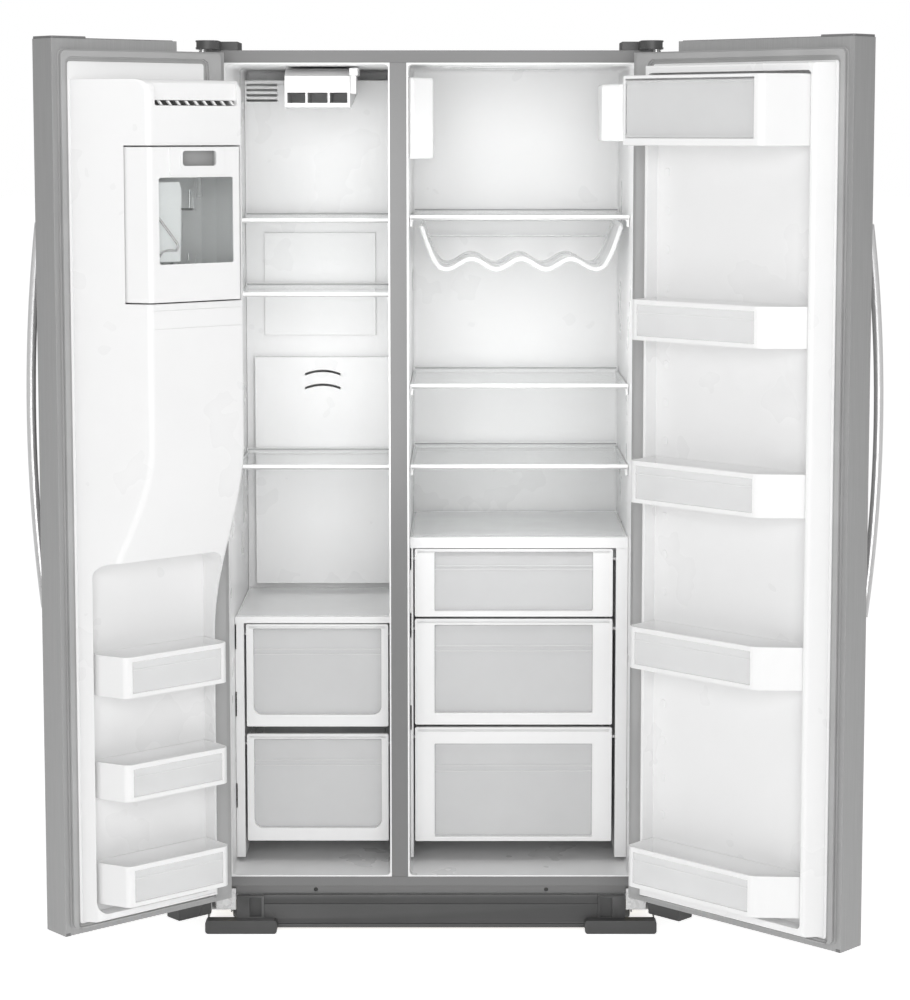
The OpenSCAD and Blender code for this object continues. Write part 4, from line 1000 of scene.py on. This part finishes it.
def build_doors():
    gasket("freezer_door_gasket", FREEZER_DOOR, "freezer_door_seal")
    gasket("fridge_door_gasket", FRIDGE_DOOR, "fridge_door_seal")
    freezer_door_inner()
    fridge_door_inner()
    for level in ("upper", "middle", "lower"):
        door_bin(f"freezer_bin_{level}", FREEZER_DOOR, f"freezer_bin_{level}")
    for k in range(1, 5):
        door_bin(f"door_bin_{k}", FRIDGE_DOOR, f"fridge_bin_{k}")
    dairy_compartment()
    ice_drawer()
    door_fittings(FREEZER_DOOR, "freezer_door_shell", "freezer_door")
    door_fittings(FRIDGE_DOOR, "fridge_door_shell", "fridge_door")


def finish_cad_nodes():
    """Gives the CAD nodes that stay as they are their finish."""
    for name, node in frame["nodes"].items():
        if not node.hide_render:
            node.data.materials.clear()
            node.data.materials.append(FINISHES[SLOT_OF[name]])


# ------------------------------------------------------------ floor, light and camera


def seen_and_lit(tree, seen, lit):
    """A strength that differs between what the camera sees and what lights the object."""
    path = tree.nodes.new("ShaderNodeLightPath")
    return spread(tree, path.outputs["Is Camera Ray"], 0.0, 1.0, lit, seen)


def floor_finish():
    material = surface("pale_floor", MOULDED, 60.0, *grey(0.90, 0.92), (0.5, 0.6), 0.01, painted_shade=0.0,
                       Emission_Color=(1, 1, 1, 1))
    tree = material.node_tree
    tree.links.new(seen_and_lit(tree, 0.72, 0.42), tree.nodes["Principled BSDF"].inputs["Emission Strength"])
    return material


def studio():
    """A wide pale floor under an open white sky."""
    shape = bmesh.new()
    bmesh.ops.create_circle(shape, cap_ends=True, segments=96, radius=60.0)
    mesh = bpy.data.meshes.new("studio_floor")
    shape.to_mesh(mesh)
    shape.free()
    mesh.materials.append(floor_finish())
    obj = bpy.data.objects.new("studio_floor", mesh)
    scene.collection.objects.link(obj)


def soft_light(name, place, aim, size, power):
    lamp = bpy.data.lights.new(name, "AREA")
    lamp.shape = "RECTANGLE"
    lamp.size, lamp.size_y = size
    lamp.energy = power
    obj = bpy.data.objects.new(name, lamp)
    obj.location = place
    obj.rotation_euler = (Vector(aim) - Vector(place)).to_track_quat("-Z", "Y").to_euler()
    scene.collection.objects.link(obj)
    return obj


def lights():
    world = bpy.data.worlds.new("studio_air")
    world.use_nodes = True
    world.node_tree.nodes["Background"].inputs["Color"].default_value = (1, 1, 1, 1)
    tree = world.node_tree
    tree.links.new(seen_and_lit(tree, 1.0, 0.34), tree.nodes["Background"].inputs["Strength"])
    scene.world = world
    scene.view_settings.view_transform = "Standard"
    soft_light("front_softbox", (0.0, -5.0, 2.0), (0.0, 0.3, 1.0), (3.4, 2.6), 112)
    soft_light("top_softbox", (0.0, -0.9, 3.4), (0.0, -0.1, 0.5), (3.4, 1.8), 24)
    for name, node, power in (("freezer_fill", "freezer_liner", 1.1),
                              ("fridge_fill", "fridge_liner", 1.3)):
        lo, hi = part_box(node)
        middle = (lo + hi) / 2
        fill = soft_light(name, (middle.x, lo.y - 0.10, 1.28), (middle.x, hi.y, 1.28),
                          (0.24, 0.80), power)
        fill.visible_camera = False
        fill.visible_glossy = False


def camera():
    """Far in front, above eye height and tilted slightly down."""
    data = bpy.data.cameras.new("camera")
    data.sensor_width = 36.0
    data.lens = 93.6
    data.shift_x = -0.0065
    data.shift_y = -0.095
    obj = bpy.data.objects.new("camera", data)
    obj.location = CABINET @ Vector((62.0, -5150.0, 1616.0))
    obj.rotation_euler = (math.radians(90 - 6.0), 0, 0)
    scene.collection.objects.link(obj)
    scene.camera = obj


build_cabinet()
build_doors()
for cad_node, width in REFINED.items():
    refined(cad_node, bevel=width)
finish_cad_nodes()
studio()
lights()
camera()
